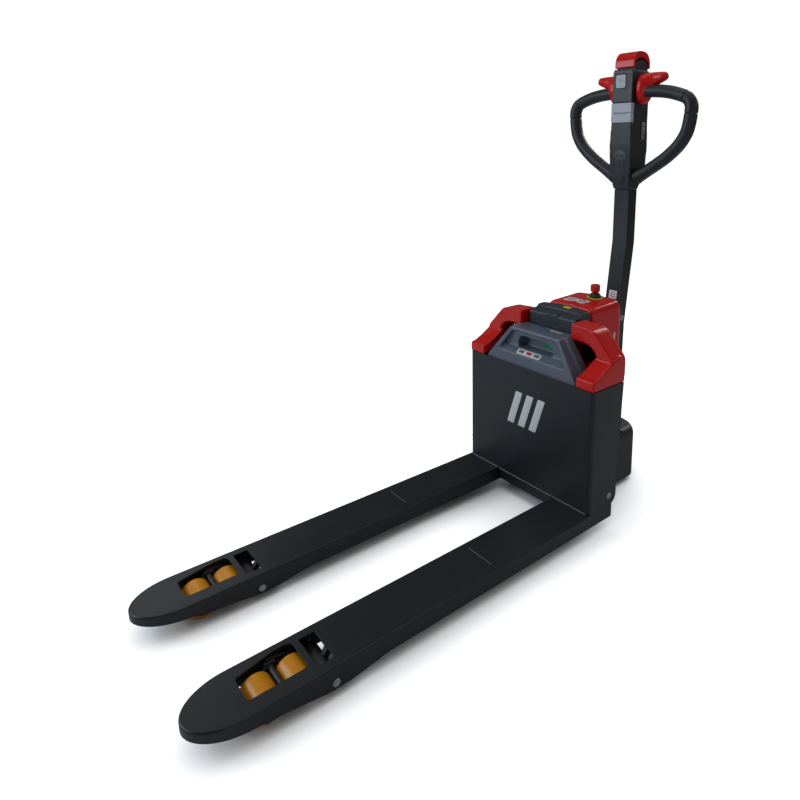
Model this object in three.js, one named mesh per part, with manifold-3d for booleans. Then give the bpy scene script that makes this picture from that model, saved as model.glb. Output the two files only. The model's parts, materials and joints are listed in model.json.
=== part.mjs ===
// Electric pallet truck: two forks on a lifting front frame, and a steered drive unit with a tiller behind it.
// Millimetres. X runs across the forks, the forks point along -Y, the operator stands at +Y, and Z is up.
// Inside the truck group y = 0 is the loading face of the front plate and z = 0 is the floor.
// The exported group stands on the floor with its origin under the middle of its bounding box.

import * as THREE from "three";
import { mergeVertices } from "three/addons/utils/BufferGeometryUtils.js";
import Module from "manifold-3d";

const wasm = await Module();
wasm.setup();

// ---- driving dimensions ----
const gap = 0.3; // between pieces that touch

const overallWidth = 550; // over both forks
const forkLength = 1150; // fork tip to loading face
const rearReach = 545; // loading face to the back of the control head
const forkWidth = 150;
const forkTop = 82; // lowered
const forkSheet = 5;
const skirtBottom = 38;
const skirtDeep = 25; // around the load wheel pivot
const forkHeel = 112; // the fork box ends here, behind the loading face
const tipLength = 110;
const rollerWindowOutline = [[35, -1030], [35, -896], [-48, -896], [-57, -906], [-57, -935], [-37, -1030]];

const frameTop = 477;
const plateSheet = 6;
const plateCorner = 12;
const shelfTop = 154; // battery floor
const shelfEdge = 125; // its rear edge
const backPlate = { front: 125, rear: 131, bottom: 238, top: 470 };
const liftBracket = { half: 58, rear: 196, bottom: 430, top: 440 };
const pivotLobe = 33; // round foot of the side plate about the torsion shaft

const liftStroke = 110;
const wheelArmPivot = { y: -852, z: 39 };
const loadRoller = { radius: 37, width: 70, pitch: 79, y: -952 };
const bogiePivot = { y: loadRoller.y, z: loadRoller.radius + 24 };
const forkPinRadius = 10;
const bogiePinRadius = 7;
const torsionPivot = { y: 98, z: 113 };
const rearLever = 140; // torsion shaft to the pin on the chassis
const downLever = 50; // torsion shaft to the push rod
const shaftRadius = 16;
const pivotBoltRadius = 10.6;
const rearLeverAt = 168; // either side of the middle
const rodHalfHeight = 9;

const steerAxisY = 290;
const driveWheel = { radius: 95, width: 70 };
const deckBottom = 204.5;
const deckSheet = 8;
const deckRadius = 112; // round end about the steering axis
const slewingBore = 45;
const pumpShelf = { bottom: 345, sheet: 8, half: 92, front: 206, rear: 352 };
const cylinderAt = [0, 172];
const pumpAt = [-46, 268];
const stopAt = [18, 318];
const hood = { half: 97, front: 206.5, rear: 366, bottom: 354, shoulder: 652, crown: 674, sheet: 3.5 };
const driveCoverHalf = 127; // at its bevelled edge's inner line

const tillerPivot = { y: 424, z: 312 };
const armBend = { y: 491, z: 850 };
const armTop = 1034.7;
const armWidth = 60;
const armDepth = 48;
const headTop = 1443;
const gripRadius = 19;
const gripAxis = { y: 490, z: 1366 };
const cableRadius = 2.6;
const wheelSides = 32;

const battery = { half: 200, narrow: 107, front: 0, step: 83, rear: 111, top: 597 };
const lid = { half: 100, sheet: 4 };

// ---- worked out from them ----
const forkCentre = (overallWidth - forkWidth) / 2;
const halfWidth = overallWidth / 2;
const bogieRise = bogiePivot.z - wheelArmPivot.z;
const wheelArmLength = Math.hypot(bogiePivot.y - wheelArmPivot.y, bogieRise);
const wheelArmSwing = Math.asin((liftStroke - bogieRise) / wheelArmLength) + Math.asin(bogieRise / wheelArmLength);
const rearLeverAngle = Math.asin(liftStroke / 2 / rearLever); // up from level, forks lowered
const rodTravel = 2 * downLever * Math.sin(rearLeverAngle);
const lugRadius = rodTravel / 2 / Math.sin(wheelArmSwing / 2);
const chassisPin = {
  y: torsionPivot.y + rearLever * Math.cos(rearLeverAngle),
  z: torsionPivot.z + rearLever * Math.sin(rearLeverAngle),
};
const rodRear = {
  y: torsionPivot.y + downLever * Math.sin(rearLeverAngle),
  z: torsionPivot.z - downLever * Math.cos(rearLeverAngle),
};
const rodFront = {
  y: wheelArmPivot.y + lugRadius * Math.sin(wheelArmSwing / 2),
  z: wheelArmPivot.z + lugRadius * Math.cos(wheelArmSwing / 2),
};
const armLean = Math.atan2(armBend.y - tillerPivot.y, armBend.z - tillerPivot.z);
const deckTop = deckBottom + deckSheet;
const shelfFloor = pumpShelf.bottom + pumpShelf.sheet;
const rodLevel = (rodRear.z + rodFront.z) / 2;

// ---- materials ----
const paint = (color, roughness, metalness = 0) => new THREE.MeshStandardMaterial({ color, roughness, metalness });
const framePaint = paint(0x22262c, 0.45);
const blackPaint = paint(0x17181a, 0.5);
const coverRed = paint(0xc4161c, 0.3);
const caseGrey = paint(0x363c46, 0.5);
const lidBlack = paint(0x24272c, 0.5);
const softBlack = paint(0x202329, 0.6);
const buttonGrey = paint(0x8d939c, 0.5);
const amberTyre = paint(0xc8780a, 0.35);
const blackTyre = paint(0x1b1b1b, 0.8);
const steel = paint(0x9a9da1, 0.35, 1);
const castIron = paint(0x3a3b3d, 0.6, 0.6);
const aluminium = paint(0xb9bcc0, 0.4, 1);

// ---- solids ----
function solid(geometry) {
  const source = geometry.index ? geometry.toNonIndexed() : geometry;
  const bare = new THREE.BufferGeometry().setAttribute("position", source.getAttribute("position"));
  const merged = mergeVertices(bare, 1e-4);
  const mesh = (triVerts) =>
    new wasm.Manifold(
      new wasm.Mesh({ numProp: 3, vertProperties: merged.attributes.position.array, triVerts })
    );
  const triangles = new Uint32Array(merged.index.array);
  const made = mesh(triangles);
  return made.volume() < 0 ? mesh(triangles.reverse()) : made;
}

const join = (...parts) => parts.reduce((a, b) => a.add(b));
const cut = (body, ...tools) => tools.reduce((a, b) => a.subtract(b), body);

function box(x0, x1, y0, y1, z0, z1) {
  const geometry = new THREE.BoxGeometry(x1 - x0, y1 - y0, z1 - z0);
  return solid(geometry.translate((x0 + x1) / 2, (y0 + y1) / 2, (z0 + z1) / 2));
}

// An outline extruded along one axis. Its two coordinates are (y, z) along x, (x, z) along y and (x, y) along z.
function prism(axis, outline, from, to, extra = {}) {
  const shape = new THREE.Shape(outline.map(([u, v]) => new THREE.Vector2(u, v)));
  const geometry = new THREE.ExtrudeGeometry(shape, {
    depth: to - from,
    bevelEnabled: false,
    curveSegments: 8,
    ...extra,
  });
  const [alongX, alongY, alongZ] = [0, 1, 2].map((i) => new THREE.Vector3().setComponent(i, 1));
  const turns = {
    x: new THREE.Matrix4().makeBasis(alongY, alongZ, alongX),
    y: new THREE.Matrix4().makeBasis(alongX, alongZ, alongY.clone().negate()),
    z: new THREE.Matrix4(),
  };
  const moves = { x: [from, 0, 0], y: [0, to, 0], z: [0, 0, from] };
  return solid(geometry.applyMatrix4(turns[axis]).translate(...moves[axis]));
}

// A solid of revolution about an axis through (u, v), from a closed profile of [radius, distance along the axis].
function turned(axis, [u, v], profile, sides = 20, flatDown = false) {
  const stretch = flatDown ? 1 / Math.cos(Math.PI / sides) : 1;
  const points = profile.map(([r, t]) => new THREE.Vector2(r * stretch, t));
  points.push(points[0].clone());
  const geometry = new THREE.LatheGeometry(points, sides);
  if (flatDown) geometry.rotateY(Math.PI / sides);
  if (axis === "x") geometry.rotateZ(-Math.PI / 2).translate(0, u, v);
  if (axis === "y") geometry.translate(u, 0, v);
  if (axis === "z") geometry.rotateX(Math.PI / 2).translate(u, v, 0);
  return solid(geometry);
}

const rod = (axis, at, radius, from, to, sides = 16) =>
  turned(axis, at, [[0, from], [radius, from], [radius, to], [0, to]], sides);
const tube = (axis, at, inner, outer, from, to, sides = 24, flatDown = false) =>
  turned(axis, at, [[inner, from], [outer, from], [outer, to], [inner, to]], sides, flatDown);

// A round bar along a smooth curve.
function bar(points, radius, steps, sides = 12) {
  const curve = new THREE.CatmullRomCurve3(points.map((p) => new THREE.Vector3(...p)), false, "centripetal");
  const section = new THREE.Shape();
  for (let i = 0; i < sides; i++) {
    const a = (2 * Math.PI * i) / sides;
    section[i ? "lineTo" : "moveTo"](radius * Math.cos(a), radius * Math.sin(a));
  }
  return solid(new THREE.ExtrudeGeometry(section, { extrudePath: curve, steps, bevelEnabled: false }));
}

const arc = (cx, cy, radius, from, to, steps) =>
  Array.from({ length: steps + 1 }, (_, i) => {
    const a = THREE.MathUtils.degToRad(from + ((to - from) * i) / steps);
    return [cx + radius * Math.cos(a), cy + radius * Math.sin(a)];
  });

// A straight strip between two points with round ends, as a pierced lever has.
function strip([u0, v0], [u1, v1], radius, steps = 5) {
  const a = THREE.MathUtils.radToDeg(Math.atan2(v1 - v0, u1 - u0));
  return [...arc(u1, v1, radius, a - 90, a + 90, steps), ...arc(u0, v0, radius, a + 90, a + 270, steps)];
}

// ---- the scene graph ----
const truck = new THREE.Group();
truck.position.set(0, (forkLength - rearReach) / 2, 0);

function place(name, body, material, [x, y, z] = [0, 0, 0]) {
  const { numProp, vertProperties, triVerts } = body.getMesh();
  const position = new Float32Array((vertProperties.length / numProp) * 3);
  for (let i = 0; i < position.length / 3; i++)
    position.set(vertProperties.subarray(i * numProp, i * numProp + 3), i * 3);
  const geometry = new THREE.BufferGeometry()
    .setAttribute("position", new THREE.BufferAttribute(position, 3))
    .setIndex(new THREE.BufferAttribute(triVerts, 1));
  geometry.computeVertexNormals();
  const mesh = new THREE.Mesh(geometry, material);
  mesh.name = name;
  mesh.position.set(x, y, z);
  truck.add(mesh);
}

const sides = { left: -forkCentre, right: forkCentre }; // x of each fork's middle line

// ---- forks ----
function forkOutline(inset, heel = forkHeel) {
  const half = forkWidth / 2 - inset;
  const tipStart = tipLength - forkLength;
  const tip = arc(0, 0, 1, 180, 360, 16).map(([c, s]) => [half * c, tipStart + (tipLength - inset) * s]);
  return [...tip, [half, heel], [-half, heel]];
}

const forkSide = [
  [forkHeel + 1, skirtBottom],
  [-720, skirtBottom],
  [wheelArmPivot.y + 40, skirtDeep],
  [wheelArmPivot.y - 15, skirtDeep],
  [-1000, 46],
  [-forkLength, 60],
  [-forkLength - 1, forkTop],
  [forkHeel + 1, forkTop],
];

function fork() {
  const outside = prism("z", forkOutline(0), 0, forkTop).intersect(prism("x", forkSide, -forkWidth, forkWidth));
  const inside = prism("z", forkOutline(forkSheet, forkHeel + 1), -1, forkTop - forkSheet);
  const underRoof = forkTop - 2 * forkSheet;
  const within = forkWidth / 2 - forkSheet;
  const rollerWindow = prism("z", rollerWindowOutline, underRoof, forkTop + 1);
  const linkWindow = box(-50, 49, -881, -842, underRoof, forkTop + 1);
  const lugRelief = box(-9, 9, -843, -824, underRoof, forkTop - 1.4);
  // The roof is open over the torsion shaft's lever, and a little lower where the front plate stands on it.
  const leverOpening = box(-within, within, 40, forkHeel + 1, 70, forkTop + 1);
  const plateSeat = box(-forkWidth, forkWidth, -1, forkHeel + 1, forkTop - gap, forkTop + 1);
  const pinHole = rod("x", [wheelArmPivot.y, wheelArmPivot.z], forkPinRadius + gap, -forkWidth, forkWidth);
  return cut(outside, inside, rollerWindow, linkWindow, lugRelief, leverOpening, plateSeat, pinHole);
}

// ---- front frame: bent front plate with side plates, battery floor, back plate and lift bracket ----
function frontHousing() {
  const bottom = forkTop + gap;
  const outer = [
    ...arc(-halfWidth + plateCorner, plateCorner, plateCorner, 180, 270, 5),
    ...arc(halfWidth - plateCorner, plateCorner, plateCorner, 270, 360, 5),
    [halfWidth, 200],
    [-halfWidth, 200],
  ];
  const inRadius = plateCorner - plateSheet;
  const inner = [
    ...arc(-halfWidth + plateCorner, plateCorner, inRadius, 180, 270, 3),
    ...arc(halfWidth - plateCorner, plateCorner, inRadius, 270, 360, 3),
    [halfWidth - plateSheet, 201],
    [-halfWidth + plateSheet, 201],
  ];
  const bent = cut(prism("z", outer, bottom, frameTop), prism("z", inner, bottom - 1, frameTop + 1));
  const sideOutline = [
    [-1, bottom - 1],
    ...arc(torsionPivot.y, torsionPivot.z, pivotLobe, -68, 0, 6),
    [129, 190], [139, 283], [142, 392], [147, frameTop + 1], [-1, frameTop + 1],
  ];
  const side = prism("x", sideOutline, -halfWidth - 1, halfWidth + 1);
  const within = halfWidth - plateSheet / 2;
  const floor = box(-within, within, plateSheet / 2, shelfEdge, shelfTop - plateSheet, shelfTop);
  const back = box(-within, within, backPlate.front, backPlate.rear, backPlate.bottom, backPlate.top);
  const floorLip = box(-within, within, shelfEdge - plateSheet, shelfEdge, shelfTop - plateSheet, shelfTop + 11);
  const { half, rear, bottom: bracketBottom, top: bracketTop } = liftBracket;
  const bracket = box(-half, half, backPlate.front + 3, rear, bracketBottom, bracketTop);
  const gussetOutline = [[130, 380], [180, bracketBottom + 1], [130, bracketBottom + 1]];
  const gusset = (x) => prism("x", gussetOutline, x - 3, x + 3);
  const boltHole = pivotBoltRadius + 0.4;
  const pivotHole = rod("x", [torsionPivot.y, torsionPivot.z], boltHole, -halfWidth - 1, halfWidth + 1);
  return cut(join(bent.intersect(side), floor, floorLip, back, bracket, gusset(-50), gusset(50)), pivotHole);
}

// Angle under the front plate, between the forks.
function crossBeam() {
  const half = forkCentre - forkWidth / 2 - gap;
  return join(box(-half, half, 1, 8, 44, forkTop), box(-half, half, 1, 70, forkTop - 6, forkTop));
}

// ---- lift linkage ----
const pivotBolt = () =>
  join(
    rod("x", [torsionPivot.y, torsionPivot.z], pivotBoltRadius, halfWidth - plateSheet, halfWidth - 0.2),
    rod("x", [torsionPivot.y, torsionPivot.z], pivotBoltRadius - 0.9, halfWidth - 26, halfWidth - plateSheet + 1)
  );

function torsionShaft() {
  const { y, z } = torsionPivot;
  const end = halfWidth - plateSheet - 1;
  const shaft = rod("x", [y, z], shaftRadius, -end, end, 20);
  const sleeve = rod("x", [y, z], pivotBoltRadius - 0.6, end - 25, end + 1);
  // The push rod keeps level, so its pin slides along a short slot in the lever.
  const downPoint = (d) => [y + d * Math.sin(rearLeverAngle), z - d * Math.cos(rearLeverAngle)];
  const slotStart = downLever * Math.cos(rearLeverAngle) - 0.5;
  const down = (x) =>
    cut(
      prism("x", strip([y, z], downPoint(downLever), 12), x - 6, x + 6),
      prism("x", strip(downPoint(slotStart), downPoint(downLever + 0.5), 5.8), x - 7, x + 7)
    );
  // The lever's slot takes the chassis pin, which keeps its place while the lever swings.
  const tip = [chassisPin.y, chassisPin.z];
  const along = [Math.cos(rearLeverAngle), Math.sin(rearLeverAngle)];
  const slotEnd = (d) => [tip[0] + d * along[0], tip[1] + d * along[1]];
  const rear = (x) =>
    cut(
      prism("x", strip([y, z], slotEnd(4), 19), x - 5, x + 5),
      prism("x", strip(slotEnd(-13), slotEnd(5), 11.5), x - 6, x + 6)
    );
  const levers = [-1, 1].flatMap((s) => [down(s * forkCentre), rear(s * rearLeverAt)]);
  return cut(join(shaft, ...levers), sleeve, sleeve.mirror([1, 0, 0]));
}

// A bar with a pierced fork at each end: one straddles the shaft's lever, the other the wheel arm's lug.
function pushRod() {
  const core = rod("y", [0, rodLevel], 6.5, rodFront.y + 24, rodRear.y - 20);
  const bottom = rodLevel - rodHalfHeight;
  const top = rodLevel + rodHalfHeight - 0.4;
  const ear = (x, from, to) => box(x - 3, x + 3, from, to, bottom, top);
  const rearEnd = [
    box(-13, 13, rodRear.y - 30, rodRear.y - 19, bottom, top),
    ear(-10.5, rodRear.y - 21, rodRear.y + 7),
    ear(10.5, rodRear.y - 21, rodRear.y + 7),
    rod("x", [rodRear.y, rodRear.z], 5, -11, 11, 16),
  ];
  const frontEnd = [
    box(-13, 13, rodFront.y + 22, rodFront.y + 31, bottom, top),
    ear(-11, rodFront.y + 4, rodFront.y + 23),
    ear(11, rodFront.y + 4, rodFront.y + 23),
  ];
  return join(core, ...rearEnd, ...frontEnd);
}

function wheelArm() {
  const { y, z } = wheelArmPivot;
  const pin = [bogiePivot.y, bogiePivot.z];
  const hub = rod("x", [y, z], 17, -60, 60, 20);
  const bore = rod("x", [y, z], forkPinRadius + gap, -70, 70);
  const cheek = (x) =>
    cut(prism("x", strip([y, z], pin, 13), x - 4, x + 4), rod("x", pin, bogiePinRadius + gap, x - 5, x + 5));
  const lug = cut(
    prism("x", strip([y, z], [rodFront.y, rodFront.z], 8), -7, 7),
    rod("x", [rodFront.y, rodFront.z], 4.5, -8, 8)
  );
  const web = box(-52, 52, y - 19.6, y - 11, z - 9, z + 9);
  return cut(join(hub, cheek(-52), cheek(52), lug, web), bore);
}

// Two side plates held together by straps, with a boss for the bogie pin above the two roller axles.
function bogie() {
  const axles = [-1, 1].map((s) => [loadRoller.y + (s * loadRoller.pitch) / 2, loadRoller.radius]);
  const pin = [bogiePivot.y, bogiePivot.z];
  const plate = (x) =>
    cut(
      join(
        prism("x", strip(axles[0], axles[1], 13), x - 3, x + 3),
        prism("x", strip([loadRoller.y, loadRoller.radius], pin, 13), x - 3, x + 3)
      ),
      ...axles.map((at) => rod("x", at, 6.3, x - 4, x + 4)),
      rod("x", pin, bogiePinRadius + gap, x - 4, x + 4)
    );
  const strap = (z) => box(-42, 42, loadRoller.y - 1.5, loadRoller.y + 1.5, z - 4, z + 4);
  return join(plate(-42.5), plate(42.5), strap(loadRoller.radius - 13), strap(loadRoller.radius + 8));
}

function loadTyre() {
  const half = loadRoller.width / 2;
  const r = loadRoller.radius;
  const profile = [[12.3, -half], [r - 4, -half], [r, 4 - half], [r, half - 4], [r - 4, half], [12.3, half]];
  return turned("x", [0, 0], profile, wheelSides, true);
}

// ---- chassis ----
function chassisFrame() {
  const deckOutline = [
    [-161, 137], [161, 137], [161, 254], [deckRadius, 262],
    ...arc(0, steerAxisY, deckRadius, -10, 190, 20),
    [-deckRadius, 262], [-161, 254],
  ];
  const deck = cut(
    prism("z", deckOutline, deckBottom, deckTop),
    rod("z", [0, steerAxisY], slewingBore, deckBottom - 1, deckTop + 1, 28)
  );
  const earOutline = [
    [chassisPin.y - 22, deckBottom + 1],
    ...arc(chassisPin.y, chassisPin.z, 16, 190, 350, 6),
    [chassisPin.y + 22, deckBottom + 1],
  ];
  // Each ear carries the pin that the shaft's rear lever bears on.
  const ear = join(
    prism("x", earOutline, 150, 158),
    rod("x", [chassisPin.y, chassisPin.z], 9, 155, 175)
  );
  const { bottom, half, front, rear } = pumpShelf;
  const wall = box(-half, half, front, front + 8, deckTop - 1, shelfFloor);
  const webOutline = [
    [front + 6, deckTop - 1], [front + 40, deckTop - 1], [front + 40, 300], [front + 56, bottom + 1],
    [front + 6, bottom + 1],
  ];
  const web = prism("x", webOutline, half - 8, half);
  const shelf = box(-half, half, front, rear, bottom, shelfFloor);
  return join(deck, ear, ear.mirror([1, 0, 0]), wall, web, web.mirror([1, 0, 0]), shelf);
}

function liftCylinder() {
  const floor = deckTop + gap;
  const profile = [[0, floor], [25, floor], [25, 388], [21, 390], [21, 402], [14.6, 402], [14.6, 232], [0, 232]];
  return turned("z", cylinderAt, profile);
}

const pistonRod = () =>
  join(rod("z", cylinderAt, 14, 236, 424), rod("z", cylinderAt, 17, 423, liftBracket.bottom - gap));

function pumpMotor() {
  const floor = shelfFloor + gap;
  return join(
    rod("z", pumpAt, 40, floor, floor + 46, 24),
    rod("z", pumpAt, 36, floor + 45, floor + 168, 24),
    rod("z", pumpAt, 22, floor + 167, floor + 184)
  );
}

function oilTank() {
  const floor = shelfFloor + gap;
  const outline = [
    ...arc(16, 226, 10, 180, 270, 3), ...arc(78, 226, 10, 270, 360, 3),
    ...arc(78, 340, 10, 0, 90, 3), ...arc(16, 340, 10, 90, 180, 3),
  ];
  return join(prism("z", outline, floor, floor + 170), rod("z", [60, 250], 12, floor + 169, floor + 184));
}

// Hood over the pump unit: a crowned box with round shoulders, open below.
function rearHood() {
  const shell = (inset, floor) => {
    const half = hood.half - inset;
    const shoulder = hood.shoulder - inset;
    return [
      [-half, floor], [half, floor],
      ...arc(half - 12, shoulder, 12, 0, 75, 3),
      [0, hood.crown - inset],
      ...arc(12 - half, shoulder, 12, 105, 180, 3),
    ];
  };
  const { front, rear, bottom, sheet } = hood;
  const outside = prism("y", shell(0, bottom), front, rear);
  const backSlope = prism("x", [[rear - 14, 700], [rear + 2, 700], [rear + 2, 648]], -120, 120);
  const inside = prism("y", shell(sheet, bottom - 1), front + 8.5, rear - 4);
  // The foot is cut back so that the tiller arm can swing past it.
  const armSweep = prism("x", [[rear - 40, bottom - 1], [rear + 1, bottom - 1], [rear + 1, 432]], -120, 120);
  return cut(outside, backSlope, inside, armSweep);
}

const stopCollar = () => tube("z", stopAt, 8.6, 21, 674.5, 686, 24);
const stopKnob = () =>
  turned("z", stopAt, [[0, 677], [8, 677], [8, 691], [14, 691], [16.5, 694], [16.5, 713], [14, 717], [0, 717]], 24);

// Skirt round the drive wheel: flat sides, a bowed back and a soft top edge, open below and in front.
function driveCover() {
  const outline = (inset) => {
    const half = driveCoverHalf - inset;
    const bow = 436 - inset / 2;
    return [
      [-half, 176 - inset * 4], [half, 176 - inset * 4], [half, 388],
      ...arc(half - 22, 396, 22, 0, 62, 3), [58, bow], [0, 449 - inset], [-58, bow],
      ...arc(22 - half, 396, 22, 118, 180, 3), [-half, 388],
    ];
  };
  const soft = (inset, top) =>
    prism("z", outline(inset), 30, top, { bevelEnabled: true, bevelSize: 18, bevelThickness: 26, bevelSegments: 3 });
  const outside = soft(0, 204 - 26).intersect(box(-200, 200, 160, 500, 20, 230));
  const inside = soft(4, 200 - 26);
  const front = box(-120, 120, 150, 166, 0, 196);
  const floorCut = prism("z", outline(-14), 0, 60).intersect(box(-141, 141, 100, 462, 0, 60));
  const opening = rod("z", [0, steerAxisY], 100, 150, 230, 28);
  return cut(outside, inside, front, opening, floorCut.intersect(prism("z", outline(-13.5), 0, 40)));
}

const slewingRing = () => tube("z", [0, steerAxisY], 44, 62, deckTop + gap, deckTop + 10, 28);

// ---- drive unit ----
function driveYoke() {
  const plateOutline = [
    [262, 198], [262, 130],
    ...arc(steerAxisY, driveWheel.radius, 30, 180, 360, 8),
    [318, 130], [318, 198],
  ];
  const plate = prism("x", plateOutline, 40, 48);
  const disc = rod("z", [0, steerAxisY], 60, 193, 201.5, 28);
  const spigot = rod("z", [0, steerAxisY], 40, 201, 225.5, 28);
  const axleHole = rod("x", [steerAxisY, driveWheel.radius], 12.4, 39, 49);
  return cut(join(plate, disc, spigot), axleHole);
}

const driveAxis = [steerAxisY, driveWheel.radius];

function driveGearbox() {
  const face = 48 + gap;
  const profile = [[0, -34], [12, -34], [12, face], [56, face], [58, 54], [58, 74], [48, 82], [0, 82]];
  return turned("x", driveAxis, profile, 28);
}

function driveMotor() {
  const face = 82 + gap;
  return turned("x", driveAxis, [[0, face], [38, face], [40, 86], [40, 118], [34, 124], [0, 124]], 24);
}

function driveHub() {
  const profile = [
    [12.4, -34], [24, -34], [24, -12], [58, -10], [58, -30], [72, -34],
    [72, 34], [58, 30], [58, 8], [24, 8], [24, 36], [12.4, 36],
  ];
  return turned("x", driveAxis, profile, 28);
}

function driveTyre() {
  const half = driveWheel.width / 2;
  const r = driveWheel.radius;
  const profile = [[72.4, -half], [r - 6, -half], [r, 5 - half], [r, half - 5], [r - 6, half], [72.4, half]];
  return turned("x", driveAxis, profile, 40, true);
}

// Casting on top of the drive unit: flange, neck and two ears for the tiller pin.
function steeringHead() {
  const flange = rod("z", [0, steerAxisY], 60, 226, 238, 28);
  const { y, z } = tillerPivot;
  const neckSide = [
    [262, 230], [340, 230], [y + 6, z - 54],
    ...arc(y, z, armDepth / 2, -65, 130, 8),
    [y - 44, z - 28], [320, 256], [262, 242],
  ];
  const neck = prism("x", neckSide, -42, 42);
  const half = armWidth / 2 + 1;
  const armRoom = join(box(-half, half, y - 31, y + 60, z - 27, z + 80), box(-half, half, y - 60, y, z, z + 80));
  return cut(join(flange, neck), armRoom, rod("x", [y, z], 10.4, -50, 50));
}

const tillerAxis = [tillerPivot.y, tillerPivot.z];
const tillerPin = () => join(rod("x", tillerAxis, 10, -62, 45), rod("x", tillerAxis, 15, 42 + gap, 49));

function returnSpring() {
  const { y, z } = tillerPivot;
  const turns = 3.5;
  const steps = 42;
  const points = Array.from({ length: steps + 1 }, (_, i) => {
    const a = (2 * Math.PI * turns * i) / steps;
    return [-44.5 - (15 * i) / steps, y + 14.5 * Math.cos(a), z + 14.5 * Math.sin(a)];
  });
  return bar(points, 1.6, 48, 5);
}

// ---- tiller ----
const leanPoint = (along, across) => [
  tillerPivot.y + along * Math.sin(armLean) + across * Math.cos(armLean),
  tillerPivot.z + along * Math.cos(armLean) - across * Math.sin(armLean),
];

function tillerArm() {
  const bendLength = Math.hypot(armBend.y - tillerPivot.y, armBend.z - tillerPivot.z);
  const outline = (inset, foot, top) => {
    const half = armDepth / 2 - inset;
    return [
      leanPoint(foot, half), leanPoint(bendLength, half), [armBend.y + half, top],
      [armBend.y - half, top], leanPoint(bendLength, -half), leanPoint(foot, -half),
    ];
  };
  const wide = armWidth / 2;
  const foot = prism("x", arc(tillerPivot.y, tillerPivot.z, 24, 0, 360, 24).slice(0, -1), -wide, wide);
  const outside = join(prism("x", outline(0, 0, armTop), -wide, wide), foot);
  const inside = prism("x", outline(4, 60, armTop + 1), 4 - wide, wide - 4);
  return cut(outside, inside, rod("x", [tillerPivot.y, tillerPivot.z], 10.4, -wide - 1, wide + 1));
}

function armRearCover() {
  const back = armDepth / 2 + gap;
  const outline = [[44, 0], [62, 24], [232, 6], [242, 0]].map(([along, out]) => leanPoint(along, back + out));
  return prism("x", outline, -28, 28);
}

// Control head: a tall narrow box with a tapered foot and a neck for the reverse button.
function controlHead() {
  const profile = [
    [467, 1035], [516, 1035], [530, 1062], [540, 1110], [544, 1200], [544, 1424], [532, headTop],
    [452, headTop], [445, 1436], [445, 1190], [449, 1120], [455, 1048],
  ];
  const front = [
    [-31, 1035], [31, 1035], [34, 1060], [43, 1110], [44, 1190], [42, 1240], [40, 1260], [40, 1436], [34, headTop],
    [-34, headTop], [-40, 1436], [-40, 1260], [-42, 1240], [-44, 1190], [-43, 1110], [-34, 1060],
  ];
  const body = prism("x", profile, -60, 60).intersect(prism("y", front, 400, 600));
  const neck = box(-31, 31, 459, 535, headTop - 1, 1484);
  const hornPocket = box(-26.4, 14.4, 440, 452, 1377.6, 1422.4);
  const [low, high] = [1263.5, 1329.5];
  const rockerPocket = join(
    box(-50, 50, 440, 451, low, high),
    box(-50, -36.5, 440, 462, low, high),
    box(36.5, 50, 440, 462, low, high)
  );
  return cut(join(body, neck), hornPocket, rockerPocket);
}

// The red cap over the neck, hollow below.
function reverseButton() {
  const side = [
    [451, 1452], [545, 1452], [545, 1468],
    ...arc(521, 1472, 24, 0, 75, 4), [498, 1499], ...arc(474, 1474, 23, 100, 180, 4),
  ];
  const cap = prism("x", side, -38, 38);
  const hollow = box(-32, 32, 457.5, 537, 1451, 1492.5);
  return cut(cap, hollow);
}

const hornButton = () => box(-26, 14, 442, 449.5, 1378, 1422);
function rockerButton(z0, z1) {
  const shell = box(-42.5, 42.5, 443, 460, z0, z1);
  return cut(shell, box(-37, 37, 448, 461, z0 - 1, z1 + 1));
}

// D-shaped grips. The right one; the left is its mirror image.
function gripLoop() {
  const y = gripAxis.y;
  const route = [
    [30, gripAxis.z], [75, gripAxis.z], [120, 1364], [180, 1353], [222, 1338], [238, 1314], [236, 1262],
    [224, 1222], [197, 1186], [150, 1146], [100, 1112], [55, 1088], [34, 1078],
  ];
  const loop = bar(route.map(([x, z]) => [x, y, z]), gripRadius, 26, 12);
  return cut(loop, box(-1, 40 + gap, 400, 600, 1240, 1460), box(-1, 44 + gap, 400, 600, 1000, 1241));
}

// Thumb wing: a ring round the grip with a blade that reaches outwards above it.
function thumbWing() {
  const { y, z } = gripAxis;
  const egg = arc(0, 0, 1, 0, 360, 20).slice(0, -1).map(([c, s]) => [y + 34 * c, z + (s < 0 ? 42 : 50) * s]);
  const ring = prism("x", egg, 42, 68);
  const bladeFront = [
    [50, 1396], [72, 1396], [112, 1404], [138, 1412], [141, 1420], [137, 1431], [120, 1433], [52, 1428],
  ];
  const blade = prism("y", bladeFront, y - 10, y + 10);
  return cut(join(ring, blade), rod("x", [y, z], gripRadius + 1.5, 41, 150, 20));
}

// Lead from the foot of the control head down into the arm.
const tillerCable = () =>
  bar(
    [[0, 522, 1036.5], [0, 523, 1030], [0, 523.5, 1018], [0, 523, 1004], [0, 521, 990], [0, 519, 978]],
    cableRadius,
    16,
    8
  );

// ---- red arm covers, battery and lid ----
function armCover() {
  const foot = prism(
    "x",
    [[-1, frameTop + gap], [152, frameTop + gap], [154, 546], [128, 566], [84, 548], [0, 510], [-1, 505]],
    206,
    halfWidth - 0.2
  );
  const shoulderOutline = [
    [214, 500], [274.6, 500], [274.6, 545], [262, 572], [206, 627], [190, 635], [111, 640],
    [111, 590], [180, 586], [205, 572], [216, 545],
  ];
  const shoulder = prism("y", shoulderOutline, 84, 154);
  const inward = prism("y", [[205, 500], [226, 500], [216, 560], [205, 560]], -2, 84);
  return cut(join(foot, shoulder), inward);
}

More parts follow.
